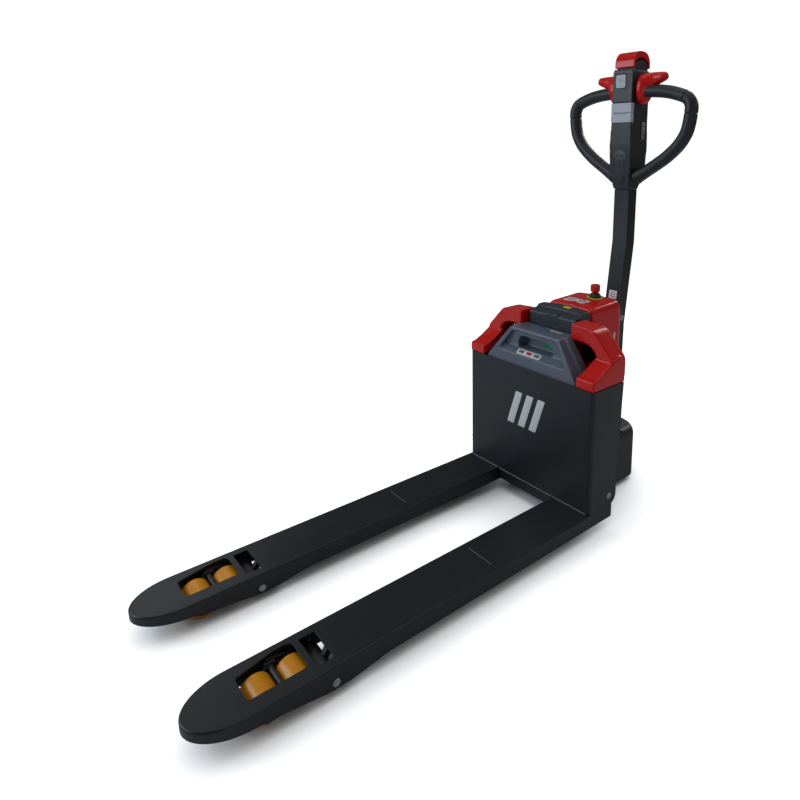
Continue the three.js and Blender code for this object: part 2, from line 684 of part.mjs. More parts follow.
// The battery is wide in front and narrow behind, where it passes between the inner ends of the arm covers.
function batteryCase() {
  const { half, narrow, front: face, step, rear, top: crown } = battery;
  const floor = shelfTop + gap;
  const plan = join(
    box(-half, half, face, step, floor, crown + 3),
    box(-narrow, narrow, step - 1, rear, floor, crown + 3)
  );
  const low = box(-half, half, 8, rear, floor, 474);
  const front = [
    [-196, 473], [196, 473], [193, 484], [narrow, 592], [102, 596], [-102, 596], [-narrow, 592], [-193, 484],
  ];
  const slope = prism("x", [[9, 470], [9, 484], [33, 594], [40, crown], [rear, 590], [rear, 470]], -210, 210);
  const top = prism("y", front, 0, 120).intersect(slope);
  const recess = prism("y", [[-136, 518], [136, 518], [94, 577], [-94, 577]], 0, 36).intersect(
    prism("x", [[0, 516], [18, 519], [36, 533], [36, 580], [0, 580]], -150, 150)
  );
  const slot = prism("y", [[-76, 534], [76, 534], [66, 566], [-66, 566]], 30, 72);
  return cut(join(low, top).intersect(plan), recess, slot);
}

function batteryLid() {
  const side = [[114, 597], [114, 640], [118, 644], [150, 647], [154, 657], [186, 661], [194, 657], [194, 600]];
  const inner = [[118, 596], [118, 638], [152, 643], [158, 652], [190, 655], [190, 596]];
  const within = lid.half - lid.sheet;
  return cut(prism("x", side, -lid.half, lid.half), prism("x", inner, -within, within));
}

const batteryConnector = () =>
  join(box(-34, 34, 138, 188, 440 + gap, 505), box(-24, 24, 144, 182, 504, 560));

const pinLength = forkWidth / 2 - gap; // each way from the fork's middle line
const forkPin = () => rod("x", [wheelArmPivot.y, wheelArmPivot.z], forkPinRadius, -pinLength, pinLength);
const bogiePin = () => rod("x", [bogiePivot.y, bogiePivot.z], bogiePinRadius, -58, 58);
const rollerAxle = () => rod("x", [0, 0], 6, -46, 46, 20);

// ---- assembly ----
for (const [side, x] of Object.entries(sides)) {
  place("fork_" + side, fork(), framePaint, [x, 0, 0]);
  place("fork_pin_" + side, forkPin(), steel, [x, 0, 0]);
  place("wheel_arm_" + side, wheelArm(), blackPaint, [x, 0, 0]);
  place("bogie_pin_" + side, bogiePin(), steel, [x, 0, 0]);
  place("bogie_" + side, bogie(), blackPaint, [x, 0, 0]);
  place("push_rod_" + side, pushRod(), blackPaint, [x, 0, 0]);
  for (const [end, s] of [["front", -1], ["rear", 1]]) {
    const at = [x, loadRoller.y + (s * loadRoller.pitch) / 2, loadRoller.radius];
    place("load_roller_" + side + "_" + end, loadTyre(), amberTyre, at);
    place("roller_axle_" + side + "_" + end, rollerAxle(), steel, at);
  }
}

place("front_housing", frontHousing(), framePaint);
place("cross_beam", crossBeam(), framePaint);
place("torsion_shaft", torsionShaft(), blackPaint);
place("battery_case", batteryCase(), caseGrey);
place("battery_lid", batteryLid(), lidBlack);
place("battery_connector", batteryConnector(), softBlack);
place("piston_rod", pistonRod(), steel);

place("chassis_frame", chassisFrame(), blackPaint);
place("lift_cylinder", liftCylinder(), blackPaint);
place("pump_motor", pumpMotor(), aluminium);
place("oil_tank", oilTank(), softBlack);
place("rear_hood", rearHood(), coverRed);
place("stop_collar", stopCollar(), softBlack);
place("stop_knob", stopKnob(), coverRed);
place("drive_cover", driveCover(), blackPaint);
place("slewing_ring", slewingRing(), steel);

place("drive_yoke", driveYoke(), castIron);
place("drive_gearbox", driveGearbox(), castIron);
place("drive_motor", driveMotor(), aluminium);
place("drive_hub", driveHub(), castIron);
place("drive_tyre", driveTyre(), blackTyre);
place("steering_head", steeringHead(), castIron);
place("tiller_pin", tillerPin(), steel);
place("return_spring", returnSpring(), steel);

place("tiller_arm", tillerArm(), framePaint);
place("arm_rear_cover", armRearCover(), softBlack);
place("control_head", controlHead(), softBlack);
place("tiller_cable", tillerCable(), softBlack);
place("reverse_button", reverseButton(), coverRed);
place("horn_button", hornButton(), buttonGrey);
place("raise_button", rockerButton(1298, 1329), buttonGrey);
place("lower_button", rockerButton(1264, 1295), buttonGrey);

// Pairs that are mirror images of each other.
const mirrored = [
  ["pivot_bolt", pivotBolt(), steel],
  ["arm_cover", armCover(), coverRed],
  ["grip_loop", gripLoop(), softBlack],
  ["thumb_wing", thumbWing(), coverRed],
];
for (const [name, body, material] of mirrored) {
  place(name + "_right", body, material);
  place(name + "_left", body.mirror([1, 0, 0]), material);
}

const part = new THREE.Group();
part.add(truck);
export default part;
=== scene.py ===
import bpy
import bmesh
import json
import math
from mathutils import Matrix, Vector


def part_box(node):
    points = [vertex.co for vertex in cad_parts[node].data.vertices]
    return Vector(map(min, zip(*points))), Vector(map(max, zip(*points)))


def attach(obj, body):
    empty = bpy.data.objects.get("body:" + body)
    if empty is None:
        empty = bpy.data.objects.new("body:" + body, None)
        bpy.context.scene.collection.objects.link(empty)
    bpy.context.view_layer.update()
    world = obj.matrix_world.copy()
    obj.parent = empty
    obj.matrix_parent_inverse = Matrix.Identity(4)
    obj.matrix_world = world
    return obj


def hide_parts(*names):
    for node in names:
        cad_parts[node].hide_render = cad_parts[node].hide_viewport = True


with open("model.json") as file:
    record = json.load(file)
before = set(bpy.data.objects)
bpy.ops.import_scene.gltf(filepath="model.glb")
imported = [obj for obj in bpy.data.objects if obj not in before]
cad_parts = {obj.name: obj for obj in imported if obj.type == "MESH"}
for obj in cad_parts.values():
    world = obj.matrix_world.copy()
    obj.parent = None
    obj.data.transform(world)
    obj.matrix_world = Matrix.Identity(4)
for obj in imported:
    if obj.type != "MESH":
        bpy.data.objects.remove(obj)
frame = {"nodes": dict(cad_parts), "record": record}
nodes = frame["nodes"]
bodyOfNode = {n: b for b, group in frame["record"]["behaviour"]["bodies"].items() for n in group}
slotOfNode = {s["node"]: s["material_slot"] for s in frame["record"]["subparts"]}
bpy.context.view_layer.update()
scene = bpy.context.scene
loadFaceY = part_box("front_housing")[0].y
print("frame loaded,", len(nodes), "nodes")


# millimetres across, behind the loading face and above the floor, to metres in the truck's frame
def at(x, y, z):
    return Vector((x / 1000, loadFaceY + y / 1000, z / 1000))


across, backward, upward = Vector((1, 0, 0)), Vector((0, 1, 0)), Vector((0, 0, 1))

camera = {
    "place": (1.3436, -1.0746, 1.1738), "azimuth": 48.738, "elevation": 11.797,
    "lens": 28.116, "sensor": 36, "shift": (-0.1, -0.15), "clip": (0.05, 60),
}


def aimAlong(thing, place, direction):
    scene.collection.objects.link(thing)
    thing.location = place
    thing.rotation_mode = "QUATERNION"
    thing.rotation_quaternion = direction.to_track_quat("-Z", "Y")


def makeCamera(spec):
    data = bpy.data.cameras.new("truckCamera")
    data.sensor_width, data.lens = spec["sensor"], spec["lens"]
    data.shift_x, data.shift_y = spec["shift"]
    data.clip_start, data.clip_end = spec["clip"]
    scene.camera = bpy.data.objects.new("truckCamera", data)
    a, e = math.radians(spec["azimuth"]), math.radians(spec["elevation"])
    back = Vector((math.sin(a) * math.cos(e), -math.cos(a) * math.cos(e), math.sin(e)))
    aimAlong(scene.camera, spec["place"], -back)


# watts, colour, width and height, place, and the point each lamp is aimed at
lamps = {
    "tipBank": (72, (0.80, 0.90, 1.0), (2.4, 2.0), (-2.0, -3.0, 2.3), (0, 0.0, 0.4)),
    "overheadBank": (15, (1, 0.98, 0.95), (2.4, 2.4), (0.1, 0.5, 3.3), (0, 0.2, 0.4)),
    "sideBank": (6, (1, 0.97, 0.92), (1.4, 1.4), (3.4, -0.9, 0.9), (0, 0.3, 0.5)),
    "tipGlow": (6, (0.92, 0.96, 1.0), (1.5, 1.3), (-3.0, -0.45, 2.2), (0, -0.8, 0.1)),
    "rearBank": (36, (0.95, 0.98, 1.0), (1.3, 1.6), (-0.3, 3.6, 2.5), (0, 0.4, 0.8)),
    "rearRightBank": (9, (1, 0.98, 0.95), (0.9, 0.9), (3.6, 2.6, 2.4), (0, 0.4, 0.6)),
}


def makeLamp(name, watts, colour, size, place, aim):
    data = bpy.data.lights.new(name, "AREA")
    data.shape = "RECTANGLE"
    data.size, data.size_y = size
    data.energy, data.color = watts, colour
    aimAlong(bpy.data.objects.new(name, data), place, Vector(aim) - Vector(place))


makeCamera(camera)
for name, spec in lamps.items():
    makeLamp(name, *spec)


# A node whose inputs are given as values, or as the outputs that feed them.
def addNode(tree, kind, inputs, **settings):
    node = tree.nodes.new(kind)
    for key, value in settings.items():
        setattr(node, key, value)
    for key, value in inputs.items():
        if isinstance(value, bpy.types.NodeSocket):
            tree.links.new(value, node.inputs[key])
        else:
            node.inputs[key].default_value = value
    return node


# a value carried from one span to another, and kept inside it
def respan(tree, value, low, high, start=0.0, end=1.0):
    ends = {"Value": value, "From Min": low, "From Max": high, "To Min": start, "To Max": end}
    return addNode(tree, "ShaderNodeMapRange", ends).outputs["Result"]


def times(tree, a, b):
    return addNode(tree, "ShaderNodeMath", {0: a, 1: b}, operation="MULTIPLY").outputs["Value"]


# The backdrop is seen white, and lights the truck only a little, as in a large dark studio.
backdrop = {"seen": 1.05, "cast": 0.10, "colour": (0.97, 0.985, 1.0, 1)}


def makeBackdrop(spec):
    scene.world = bpy.data.worlds.new("paleStudio")
    scene.world.use_nodes = True
    tree = scene.world.node_tree
    rays = addNode(tree, "ShaderNodeLightPath", {})
    level = respan(tree, rays.outputs["Is Camera Ray"], 0.0, 1.0, spec["cast"], spec["seen"])
    sky = tree.nodes["Background"].inputs
    tree.links.new(level, sky["Strength"])
    sky["Color"].default_value = spec["colour"]


makeBackdrop(backdrop)
scene.view_settings.view_transform = "Standard"
print("camera and lamps set")


# A shader group and its two ends; an input that is a tuple is a vector.
def newGroup(name, inputs, outputs):
    tree = bpy.data.node_groups.new(name, "ShaderNodeTree")
    for label, value in inputs.items():
        kind = "NodeSocketVector" if isinstance(value, tuple) else "NodeSocketFloat"
        tree.interface.new_socket(name=label, in_out="INPUT", socket_type=kind).default_value = value
    for label in outputs:
        tree.interface.new_socket(name=label, in_out="OUTPUT", socket_type="NodeSocketFloat")
    return tree, tree.nodes.new("NodeGroupInput").outputs, tree.nodes.new("NodeGroupOutput").inputs


def objectPlace(tree):
    return addNode(tree, "ShaderNodeTexCoord", {}).outputs["Object"]


# a mask kept only where a noise is high, so that it lies in patches
def inPatches(tree, mask, size, noise, low, high):
    patch = addNode(tree, "ShaderNodeTexNoise", {"Vector": objectPlace(tree), "Scale": size, **noise})
    return times(tree, mask, respan(tree, patch.outputs["Fac"], low, high))


# moulded or sprayed surface: small bumps, and a slow drift of tone from place to place
def makeSurfaceGrain():
    inputs = {"Grain size": 900.0, "Drift size": 6.0, "Pits": 0.3}
    tree, given, put = newGroup("surfaceGrain", inputs, ("Height", "Drift"))
    fineness = {"Vector": objectPlace(tree), "Scale": given["Grain size"]}
    fine = addNode(tree, "ShaderNodeTexNoise", {**fineness, "Detail": 3.0, "Roughness": 0.6})
    cells = addNode(tree, "ShaderNodeTexVoronoi", fineness, feature="SMOOTH_F1")
    drifting = {"Vector": objectPlace(tree), "Scale": given["Drift size"], "Detail": 5.0, "Roughness": 0.55}
    slow = addNode(tree, "ShaderNodeTexNoise", drifting)
    both = {0: given["Pits"], 2: fine.outputs["Fac"], 3: cells.outputs["Distance"]}
    blend = addNode(tree, "ShaderNodeMix", both, data_type="FLOAT")
    tree.links.new(blend.outputs[0], put["Height"])
    tree.links.new(slow.outputs["Fac"], put["Drift"])
    return tree


# edge wear and a painted highlight together: a tone of its own along the outer edges, broken up, where a
# hand or a pallet rubs the finish thin and where rounded edges would catch the light
def makeEdgeWearAndSheen():
    inputs = {"Reach": 0.002, "Break up": 60.0, "Amount": 0.5}
    tree, given, put = newGroup("edgeWearAndSheen", inputs, ("Mask",))
    rounded = addNode(tree, "ShaderNodeBevel", {"Radius": given["Reach"]}, samples=3)
    flat = addNode(tree, "ShaderNodeNewGeometry", {})
    normals = {0: rounded.outputs["Normal"], 1: flat.outputs["Normal"]}
    facing = addNode(tree, "ShaderNodeVectorMath", normals, operation="DOT_PRODUCT")
    # the edge mask gives rounded outer edges their own tone: partly rubbed finish, partly a painted
    # highlight
    turn = respan(tree, facing.outputs["Value"], 0.99, 0.8)
    mask = inPatches(tree, turn, given["Break up"], {"Detail": 4.0, "Roughness": 0.65}, 0.45, 0.62)
    tree.links.new(times(tree, mask, given["Amount"]), put["Mask"])
    return tree


# dust lies on what faces up, thicker in slow patches
def makeSettledDust():
    tree, given, put = newGroup("settledDust", {"Patch size": 8.0, "Amount": 0.2}, ("Mask",))
    surface = addNode(tree, "ShaderNodeNewGeometry", {})
    split = addNode(tree, "ShaderNodeSeparateXYZ", {"Vector": surface.outputs["Normal"]})
    level = respan(tree, split.outputs["Z"], 0.3, 1.0)
    mask = inPatches(tree, level, given["Patch size"], {"Detail": 6.0, "Roughness": 0.7}, 0.35, 0.75)
    tree.links.new(times(tree, mask, given["Amount"]), put["Mask"])
    return tree


# long thin scratches that run one way
def makeFineScratches():
    tree, given, put = newGroup("fineScratches", {"Stretch": (40.0, 700.0, 700.0), "Amount": 0.2}, ("Mask",))
    ends = {0: objectPlace(tree), 1: given["Stretch"]}
    stretch = addNode(tree, "ShaderNodeVectorMath", ends, operation="MULTIPLY")
    noise = {"Vector": stretch.outputs["Vector"], "Scale": 1.0, "Detail": 2.0, "Roughness": 0.5}
    lines = addNode(tree, "ShaderNodeTexNoise", noise)
    thin = respan(tree, lines.outputs["Fac"], 0.6, 0.72)
    tree.links.new(times(tree, thin, given["Amount"]), put["Mask"])
    return tree


surfaceGrain = makeSurfaceGrain()
# each mark's group and the inputs that a finish gives it, in order
marks = {
    "rub": (makeEdgeWearAndSheen(), ("Reach", "Break up", "Amount")),
    "scratch": (makeFineScratches(), ("Stretch", "Amount")),
    "dust": (makeSettledDust(), ("Patch size", "Amount")),
}
print("shader groups made")


# One finish: two close tones, grain, rubbed edges that also carry a painted edge highlight, scratches and
# dust, each with its own amounts.
def makeFinish(name, look):
    material = bpy.data.materials.new(name)
    material.use_nodes = True
    tree = material.node_tree
    shader = tree.nodes["Principled BSDF"]
    for key, value in look.get("shader", {}).items():
        shader.inputs[key].default_value = value
    sizes = dict(zip(("Grain size", "Drift size", "Pits"), look["grain"]))
    grain = addNode(tree, "ShaderNodeGroup", sizes, node_tree=surfaceGrain)
    drift = grain.outputs["Drift"]
    tones = {0: drift, 6: (*look["tone"], 1), 7: (*look["deeper"], 1)}
    surface = addNode(tree, "ShaderNodeMix", tones, data_type="RGBA").outputs[2]
    roughness = respan(tree, drift, 0.3, 0.7, *look["rough"])
    for key, (group, labels) in marks.items():
        if key not in look:
            continue
        *amounts, tone, rough = look[key]
        mask = addNode(tree, "ShaderNodeGroup", dict(zip(labels, amounts)), node_tree=group).outputs["Mask"]
        tones = {0: mask, 6: surface, 7: (*tone, 1)}
        surface = addNode(tree, "ShaderNodeMix", tones, data_type="RGBA").outputs[2]
        levels = {0: mask, 2: roughness, 3: rough}
        roughness = addNode(tree, "ShaderNodeMix", levels, data_type="FLOAT").outputs[0]
    strength, distance = look["bump"]
    relief = {"Height": grain.outputs["Height"], "Strength": strength, "Distance": distance}
    bump = addNode(tree, "ShaderNodeBump", relief)
    tree.links.new(surface, shader.inputs["Base Color"])
    tree.links.new(roughness, shader.inputs["Roughness"])
    tree.links.new(bump.outputs["Normal"], shader.inputs["Normal"])
    return material


# grain: its size, the drift's size and the share of pits; bump: strength and metres
# the rubbed edges (edge wear together with a painted edge highlight): reach, break up and amount; scratch:
# stretch and amount; dust: patch size and amount;
# then the tone and roughness of the mark
finishes = {
    "framePaint": {
        "tone": (0.0085, 0.0105, 0.014), "deeper": (0.0125, 0.015, 0.019), "rough": (0.32, 0.44),
        "bump": (0.2, 0.0003), "grain": (1500, 4, 0.2),
        "rub": (0.0022, 70, 0.3, (0.075, 0.085, 0.095), 0.4),
        "scratch": ((500, 12, 500), 0.12, (0.04, 0.044, 0.05), 0.5),
        "dust": (9, 0.07, (0.09, 0.087, 0.08), 0.7),
        "shader": {"Specular IOR Level": 0.42, "Coat Weight": 0.1, "Coat Roughness": 0.22},
    },
    "blackPaint": {
        "tone": (0.0085, 0.0085, 0.009), "deeper": (0.014, 0.0135, 0.013), "rough": (0.4, 0.55),
        "bump": (0.3, 0.0005), "grain": (1200, 7, 0.25),
        "rub": (0.002, 90, 0.4, (0.09, 0.09, 0.09), 0.45),
        "dust": (12, 0.22, (0.11, 0.1, 0.09), 0.8),
    },
    "coverBlack": {
        "tone": (0.01, 0.0095, 0.009), "deeper": (0.0155, 0.0145, 0.0135), "rough": (0.38, 0.5),
        "bump": (0.35, 0.0005), "grain": (1000, 5, 0.5),
        "scratch": ((30, 500, 500), 0.1, (0.05, 0.05, 0.05), 0.55),
        "dust": (10, 0.18, (0.12, 0.11, 0.1), 0.8),
    },
    "coverRed": {
        "tone": (0.6, 0.007, 0.005), "deeper": (0.74, 0.011, 0.008), "rough": (0.2, 0.3),
        "bump": (0.1, 0.0003), "grain": (700, 9, 0.4),
        "scratch": ((25, 600, 600), 0.06, (0.7, 0.05, 0.04), 0.45),
        "dust": (16, 0.04, (0.5, 0.12, 0.1), 0.6),
        "shader": {"Specular IOR Level": 0.34, "Coat Weight": 0.1, "Coat Roughness": 0.1},
    },
    "caseGrey": {
        "tone": (0.095, 0.117, 0.158), "deeper": (0.115, 0.14, 0.185), "rough": (0.32, 0.42),
        "bump": (0.4, 0.0004), "grain": (1300, 8, 0.6),
        "rub": (0.002, 40, 0.25, (0.12, 0.135, 0.16), 0.35),
        "dust": (14, 0.06, (0.14, 0.14, 0.14), 0.7),
    },
    "lidBlack": {
        "tone": (0.022, 0.027, 0.037), "deeper": (0.032, 0.039, 0.052), "rough": (0.34, 0.44),
        "bump": (0.5, 0.0005), "grain": (1200, 8, 0.6),
        "rub": (0.002, 40, 0.2, (0.1, 0.11, 0.13), 0.35),
        "dust": (12, 0.08, (0.13, 0.13, 0.12), 0.7),
    },
    "softBlack": {
        "tone": (0.0125, 0.0155, 0.021), "deeper": (0.018, 0.0215, 0.0285), "rough": (0.36, 0.46),
        "bump": (0.4, 0.0004), "grain": (1500, 10, 0.5),
        "rub": (0.002, 50, 0.15, (0.07, 0.08, 0.09), 0.35),
        "dust": (20, 0.04, (0.12, 0.12, 0.12), 0.7),
    },
    "gripFoam": {
        "tone": (0.011, 0.0135, 0.0175), "deeper": (0.017, 0.02, 0.026), "rough": (0.36, 0.46),
        "bump": (0.6, 0.0006), "grain": (1800, 12, 0.7),
        "scratch": ((60, 60, 900), 0.06, (0.05, 0.055, 0.06), 0.5),
    },
    "buttonGrey": {
        "tone": (0.45, 0.49, 0.56), "deeper": (0.54, 0.58, 0.65), "rough": (0.5, 0.62),
        "bump": (0.6, 0.0006), "grain": (1400, 20, 0.7),
        "dust": (60, 0.25, (0.2, 0.2, 0.2), 0.8),
    },
    "amberWheel": {
        "tone": (0.7, 0.25, 0.002), "deeper": (0.8, 0.31, 0.004), "rough": (0.24, 0.36),
        "bump": (0.25, 0.0005), "grain": (500, 14, 0.2),
        "rub": (0.003, 50, 0.25, (0.45, 0.16, 0.02), 0.5),
        "scratch": ((30, 500, 500), 0.25, (0.4, 0.14, 0.015), 0.55),
        "dust": (40, 0.12, (0.35, 0.2, 0.08), 0.7),
        "shader": {"Specular IOR Level": 0.32, "Coat Weight": 0.12, "Coat Roughness": 0.08},
    },
    "blackTread": {
        "tone": (0.01, 0.01, 0.01), "deeper": (0.019, 0.018, 0.017), "rough": (0.62, 0.8),
        "bump": (0.7, 0.0008), "grain": (700, 20, 0.4),
        "scratch": ((20, 400, 400), 0.3, (0.05, 0.048, 0.045), 0.85),
    },
    "turnedSteel": {
        "tone": (0.42, 0.43, 0.44), "deeper": (0.54, 0.55, 0.56), "rough": (0.24, 0.36),
        "bump": (0.3, 0.0003), "grain": (900, 30, 0.1),
        "scratch": ((900, 60, 900), 0.35, (0.25, 0.25, 0.25), 0.45),
        "shader": {"Metallic": 1},
    },
    "darkCasting": {
        "tone": (0.03, 0.031, 0.033), "deeper": (0.052, 0.052, 0.052), "rough": (0.55, 0.7),
        "bump": (0.8, 0.0012), "grain": (420, 10, 0.3),
        "rub": (0.002, 80, 0.5, (0.2, 0.2, 0.2), 0.4),
        "dust": (14, 0.25, (0.12, 0.11, 0.09), 0.85),
        "shader": {"Metallic": 0.3},
    },
    "motorAlloy": {
        "tone": (0.42, 0.43, 0.44), "deeper": (0.52, 0.53, 0.53), "rough": (0.38, 0.5),
        "bump": (0.5, 0.0006), "grain": (600, 12, 0.3),
        "dust": (18, 0.3, (0.2, 0.19, 0.17), 0.8),
        "shader": {"Metallic": 0.9},
    },
    "labelWhite": {
        "tone": (0.78, 0.79, 0.8), "deeper": (0.68, 0.69, 0.7), "rough": (0.35, 0.45),
        "bump": (0.1, 0.0002), "grain": (900, 60, 0.1),
        "dust": (60, 0.15, (0.4, 0.4, 0.4), 0.7),
    },
    "labelInk": {
        "tone": (0.11, 0.11, 0.12), "deeper": (0.16, 0.16, 0.17), "rough": (0.4, 0.5),
        "bump": (0.1, 0.0002), "grain": (900, 80, 0.1),
    },
    "signalYellow": {
        "tone": (0.72, 0.55, 0.02), "deeper": (0.62, 0.46, 0.02), "rough": (0.4, 0.5),
        "bump": (0.2, 0.0003), "grain": (900, 60, 0.2),
        "dust": (80, 0.25, (0.3, 0.26, 0.1), 0.8),
    },
    "plateBrass": {
        "tone": (0.2, 0.19, 0.11), "deeper": (0.28, 0.26, 0.16), "rough": (0.4, 0.55),
        "bump": (0.3, 0.0003), "grain": (900, 90, 0.2),
        "scratch": ((300, 300, 700), 0.5, (0.06, 0.06, 0.05), 0.6),
    },
    "lampGreen": {
        "tone": (0.01, 0.2, 0.07), "deeper": (0.015, 0.27, 0.1), "rough": (0.15, 0.25),
        "bump": (0.1, 0.0002), "grain": (900, 90, 0.1),
        "shader": {"Emission Color": (0.02, 0.5, 0.16, 1), "Emission Strength": 0.03},
    },
    "badgeBlue": {
        "tone": (0.012, 0.17, 0.42), "deeper": (0.015, 0.2, 0.5), "rough": (0.2, 0.3),
        "bump": (0.1, 0.0002), "grain": (900, 70, 0.1),
    },
    "weldBead": {
        "tone": (0.075, 0.078, 0.085), "deeper": (0.13, 0.13, 0.135), "rough": (0.3, 0.45),
        "bump": (0.5, 0.0006), "grain": (500, 60, 0.2),
        "scratch": ((160, 30, 30), 0.4, (0.02, 0.02, 0.022), 0.5),
    },
    "scribedLine": {
        "tone": (0.3, 0.28, 0.17), "deeper": (0.2, 0.19, 0.12), "rough": (0.5, 0.6),
        "bump": (0.3, 0.0003), "grain": (700, 120, 0.2),
        "scratch": ((120, 30, 30), 0.5, (0.06, 0.06, 0.05), 0.6),
    },
    "glossBlack": {
        "tone": (0.008, 0.009, 0.011), "deeper": (0.012, 0.013, 0.016), "rough": (0.16, 0.26),
        "bump": (0.2, 0.0004), "grain": (900, 20, 0.3),
        "dust": (30, 0.08, (0.12, 0.115, 0.11), 0.7),
    },
    "cableSheath": {
        "tone": (0.012, 0.012, 0.013), "deeper": (0.02, 0.02, 0.02), "rough": (0.45, 0.6),
        "bump": (0.4, 0.0004), "grain": (1500, 60, 0.4),
    },
}
made = {name: makeFinish(name, look) for name, look in finishes.items()}
finishOfSlot = {
    "frame_paint": "framePaint", "black_paint": "blackPaint", "cover_red": "coverRed",
    "case_grey": "caseGrey", "lid_black": "lidBlack", "soft_black": "softBlack",
    "button_grey": "buttonGrey", "amber_tyre": "amberWheel", "black_tyre": "blackTread",
    "steel": "turnedSteel", "cast_iron": "darkCasting", "aluminium": "motorAlloy",
}
print(len(made), "finishes made")

# a pale floor whose camera-seen glow is dimmed by ambient occlusion close to what stands on it: a painted
# contact shadow
floor = {
    "half": 20, "tone": (0.72, 0.73, 0.74), "rough": 0.95, "glow": (0.98, 0.99, 1.0),
    "lift": 0.95, "reach": 0.34, "dark": 0.22, "clear": 0.92,
}


def makeFloor(spec):
    half = spec["half"]
    mesh = bpy.data.meshes.new("paleFloor")
    corners = [(-half, -half, 0), (half, -half, 0), (half, half, 0), (-half, half, 0)]
    mesh.from_pydata(corners, [], [(0, 1, 2, 3)])
    plane = bpy.data.objects.new("paleFloor", mesh)
    scene.collection.objects.link(plane)
    material = bpy.data.materials.new("floorWhite")
    material.use_nodes = True
    tree = material.node_tree
    rays = addNode(tree, "ShaderNodeLightPath", {})
    contactShadowAO = addNode(tree, "ShaderNodeAmbientOcclusion", {"Distance": spec["reach"]}, samples=12)
    # painted contact shadow: the glow falls off where ambient occlusion finds something close, under and
    # beside the truck
    shade = respan(tree, contactShadowAO.outputs["AO"], spec["dark"], spec["clear"], 0.0, spec["lift"])
    shader = tree.nodes["Principled BSDF"].inputs
    tree.links.new(times(tree, rays.outputs["Is Camera Ray"], shade), shader["Emission Strength"])
    shader["Emission Color"].default_value = (*spec["glow"], 1)
    shader["Base Color"].default_value = (*spec["tone"], 1)
    shader["Roughness"].default_value = spec["rough"]
    shader["Specular IOR Level"].default_value = 0.0
    mesh.materials.append(material)


makeFloor(floor)


def addPiece(name, mesh, finish, body, stands=()):
    piece = bpy.data.objects.new(name, mesh)
    scene.collection.objects.link(piece)
    mesh.materials.clear()
    mesh.materials.append(made[finish])
    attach(piece, body)
    if stands:
        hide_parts(*stands)
    return piece


# a mesh that stands for a CAD solid
def dress(node, mesh, finish=None):
    slot = slotOfNode[node]
    return addPiece(mesh.name, mesh, finish or finishOfSlot[slot], bodyOfNode[node], (node,))


# a mesh that only rides with one
def trim(node, mesh, finish):
    return addPiece(mesh.name, mesh, finish, bodyOfNode[node])


def smoothShade(mesh, angle=None):
    for face in mesh.polygons:
        face.use_smooth = True
    if angle:
        mesh.set_sharp_from_angle(angle=math.radians(angle))


def roundEdges(piece, width, steps=3, limit="ANGLE", angle=28):
    bevel = piece.modifiers.new("roundEdges", "BEVEL")
    bevel.width, bevel.segments = width / 1000, steps
    bevel.limit_method, bevel.angle_limit = limit, math.radians(angle)
    bevel.miter_outer = "MITER_ARC"
    piece.modifiers.new("evenShade", "WEIGHTED_NORMAL")


# A CAD solid with its flat faces joined up and its edges rounded, so that they catch the light.
def softCopy(node, width, steps):
    mesh = nodes[node].data.copy()
    mesh.name = node + "_body"
    joinFlats(mesh, 2e-6, 0.8)
    smoothShade(mesh)
    roundEdges(dress(node, mesh), width, steps)


# near vertices merged, and faces that lie almost in one plane made one
def joinFlats(mesh, distance, angle, weigh=None):
    edit = bmesh.new()
    edit.from_mesh(mesh)
    bmesh.ops.remove_doubles(edit, verts=edit.verts, dist=distance)
    bmesh.ops.dissolve_limit(edit, angle_limit=math.radians(angle), verts=edit.verts, edges=edit.edges)
    if weigh:
        weigh(edit)
    edit.to_mesh(mesh)
    edit.free()


def meshFrom(name, points, faces, smooth=40):
    mesh = bpy.data.meshes.new(name)
    mesh.from_pydata([tuple(q) for q in points], [], faces)
    edit = bmesh.new()
    edit.from_mesh(mesh)
    bmesh.ops.recalc_face_normals(edit, faces=edit.faces)
    edit.to_mesh(mesh)
    edit.free()
    smoothShade(mesh, smooth)
    return mesh


# Rings of equal length joined one to the next; the two end rings are capped.
def loft(name, rings, smooth=40):
    count = len(rings[0])
    points = [q for ring in rings for q in ring]
    faces = []
    for r in range(len(rings) - 1):
        for i in range(count):
            j = (i + 1) % count
            faces.append((r * count + i, r * count + j, (r + 1) * count + j, (r + 1) * count + i))
    faces.append(tuple(reversed(range(count))))
    faces.append(tuple((len(rings) - 1) * count + i for i in range(count)))
    return meshFrom(name, points, faces, smooth)


# the two directions across each axis, and the axis
turningAxes = {
    "x": (backward, upward, across),
    "y": (across, upward, backward),
    "z": (across, backward, upward),
}


# A turned piece about an axis through a point: the profile holds (radius, distance along) in millimetres.
def lathe(name, centre, axis, profile, steps=48, smooth=32):
    u, v, along = turningAxes[axis]
    points, faces, rings = [], [], []
    for radius, t in profile:
        if radius < 1e-6:
            rings.append([len(points)] * steps)
            points.append(centre + along * t / 1000)
            continue
        rings.append(list(range(len(points), len(points) + steps)))
        for i in range(steps):
            a = 2 * math.pi * i / steps
            points.append(centre + (u * math.cos(a) + v * math.sin(a)) * radius / 1000 + along * t / 1000)
    closed = profile[0][0] > 1e-6
    pairs = list(zip(rings, rings[1:])) + ([(rings[-1], rings[0])] if closed else [])
    for a, b in pairs:
        for i in range(steps):
            j = (i + 1) % steps
            face = tuple(dict.fromkeys((a[i], a[j], b[j], b[i])))
            if len(face) > 2:
                faces.append(face)
    return meshFrom(name, points, faces, smooth)


# An arc's points on an ellipse, in degrees; steps is the number of stretches.
def arc(x, y, a, b, start, end, steps):
    turns = (math.radians(start + (end - start) * k / steps) for k in range(steps + 1))
    return [(x + a * math.cos(t), y + b * math.sin(t)) for t in turns]


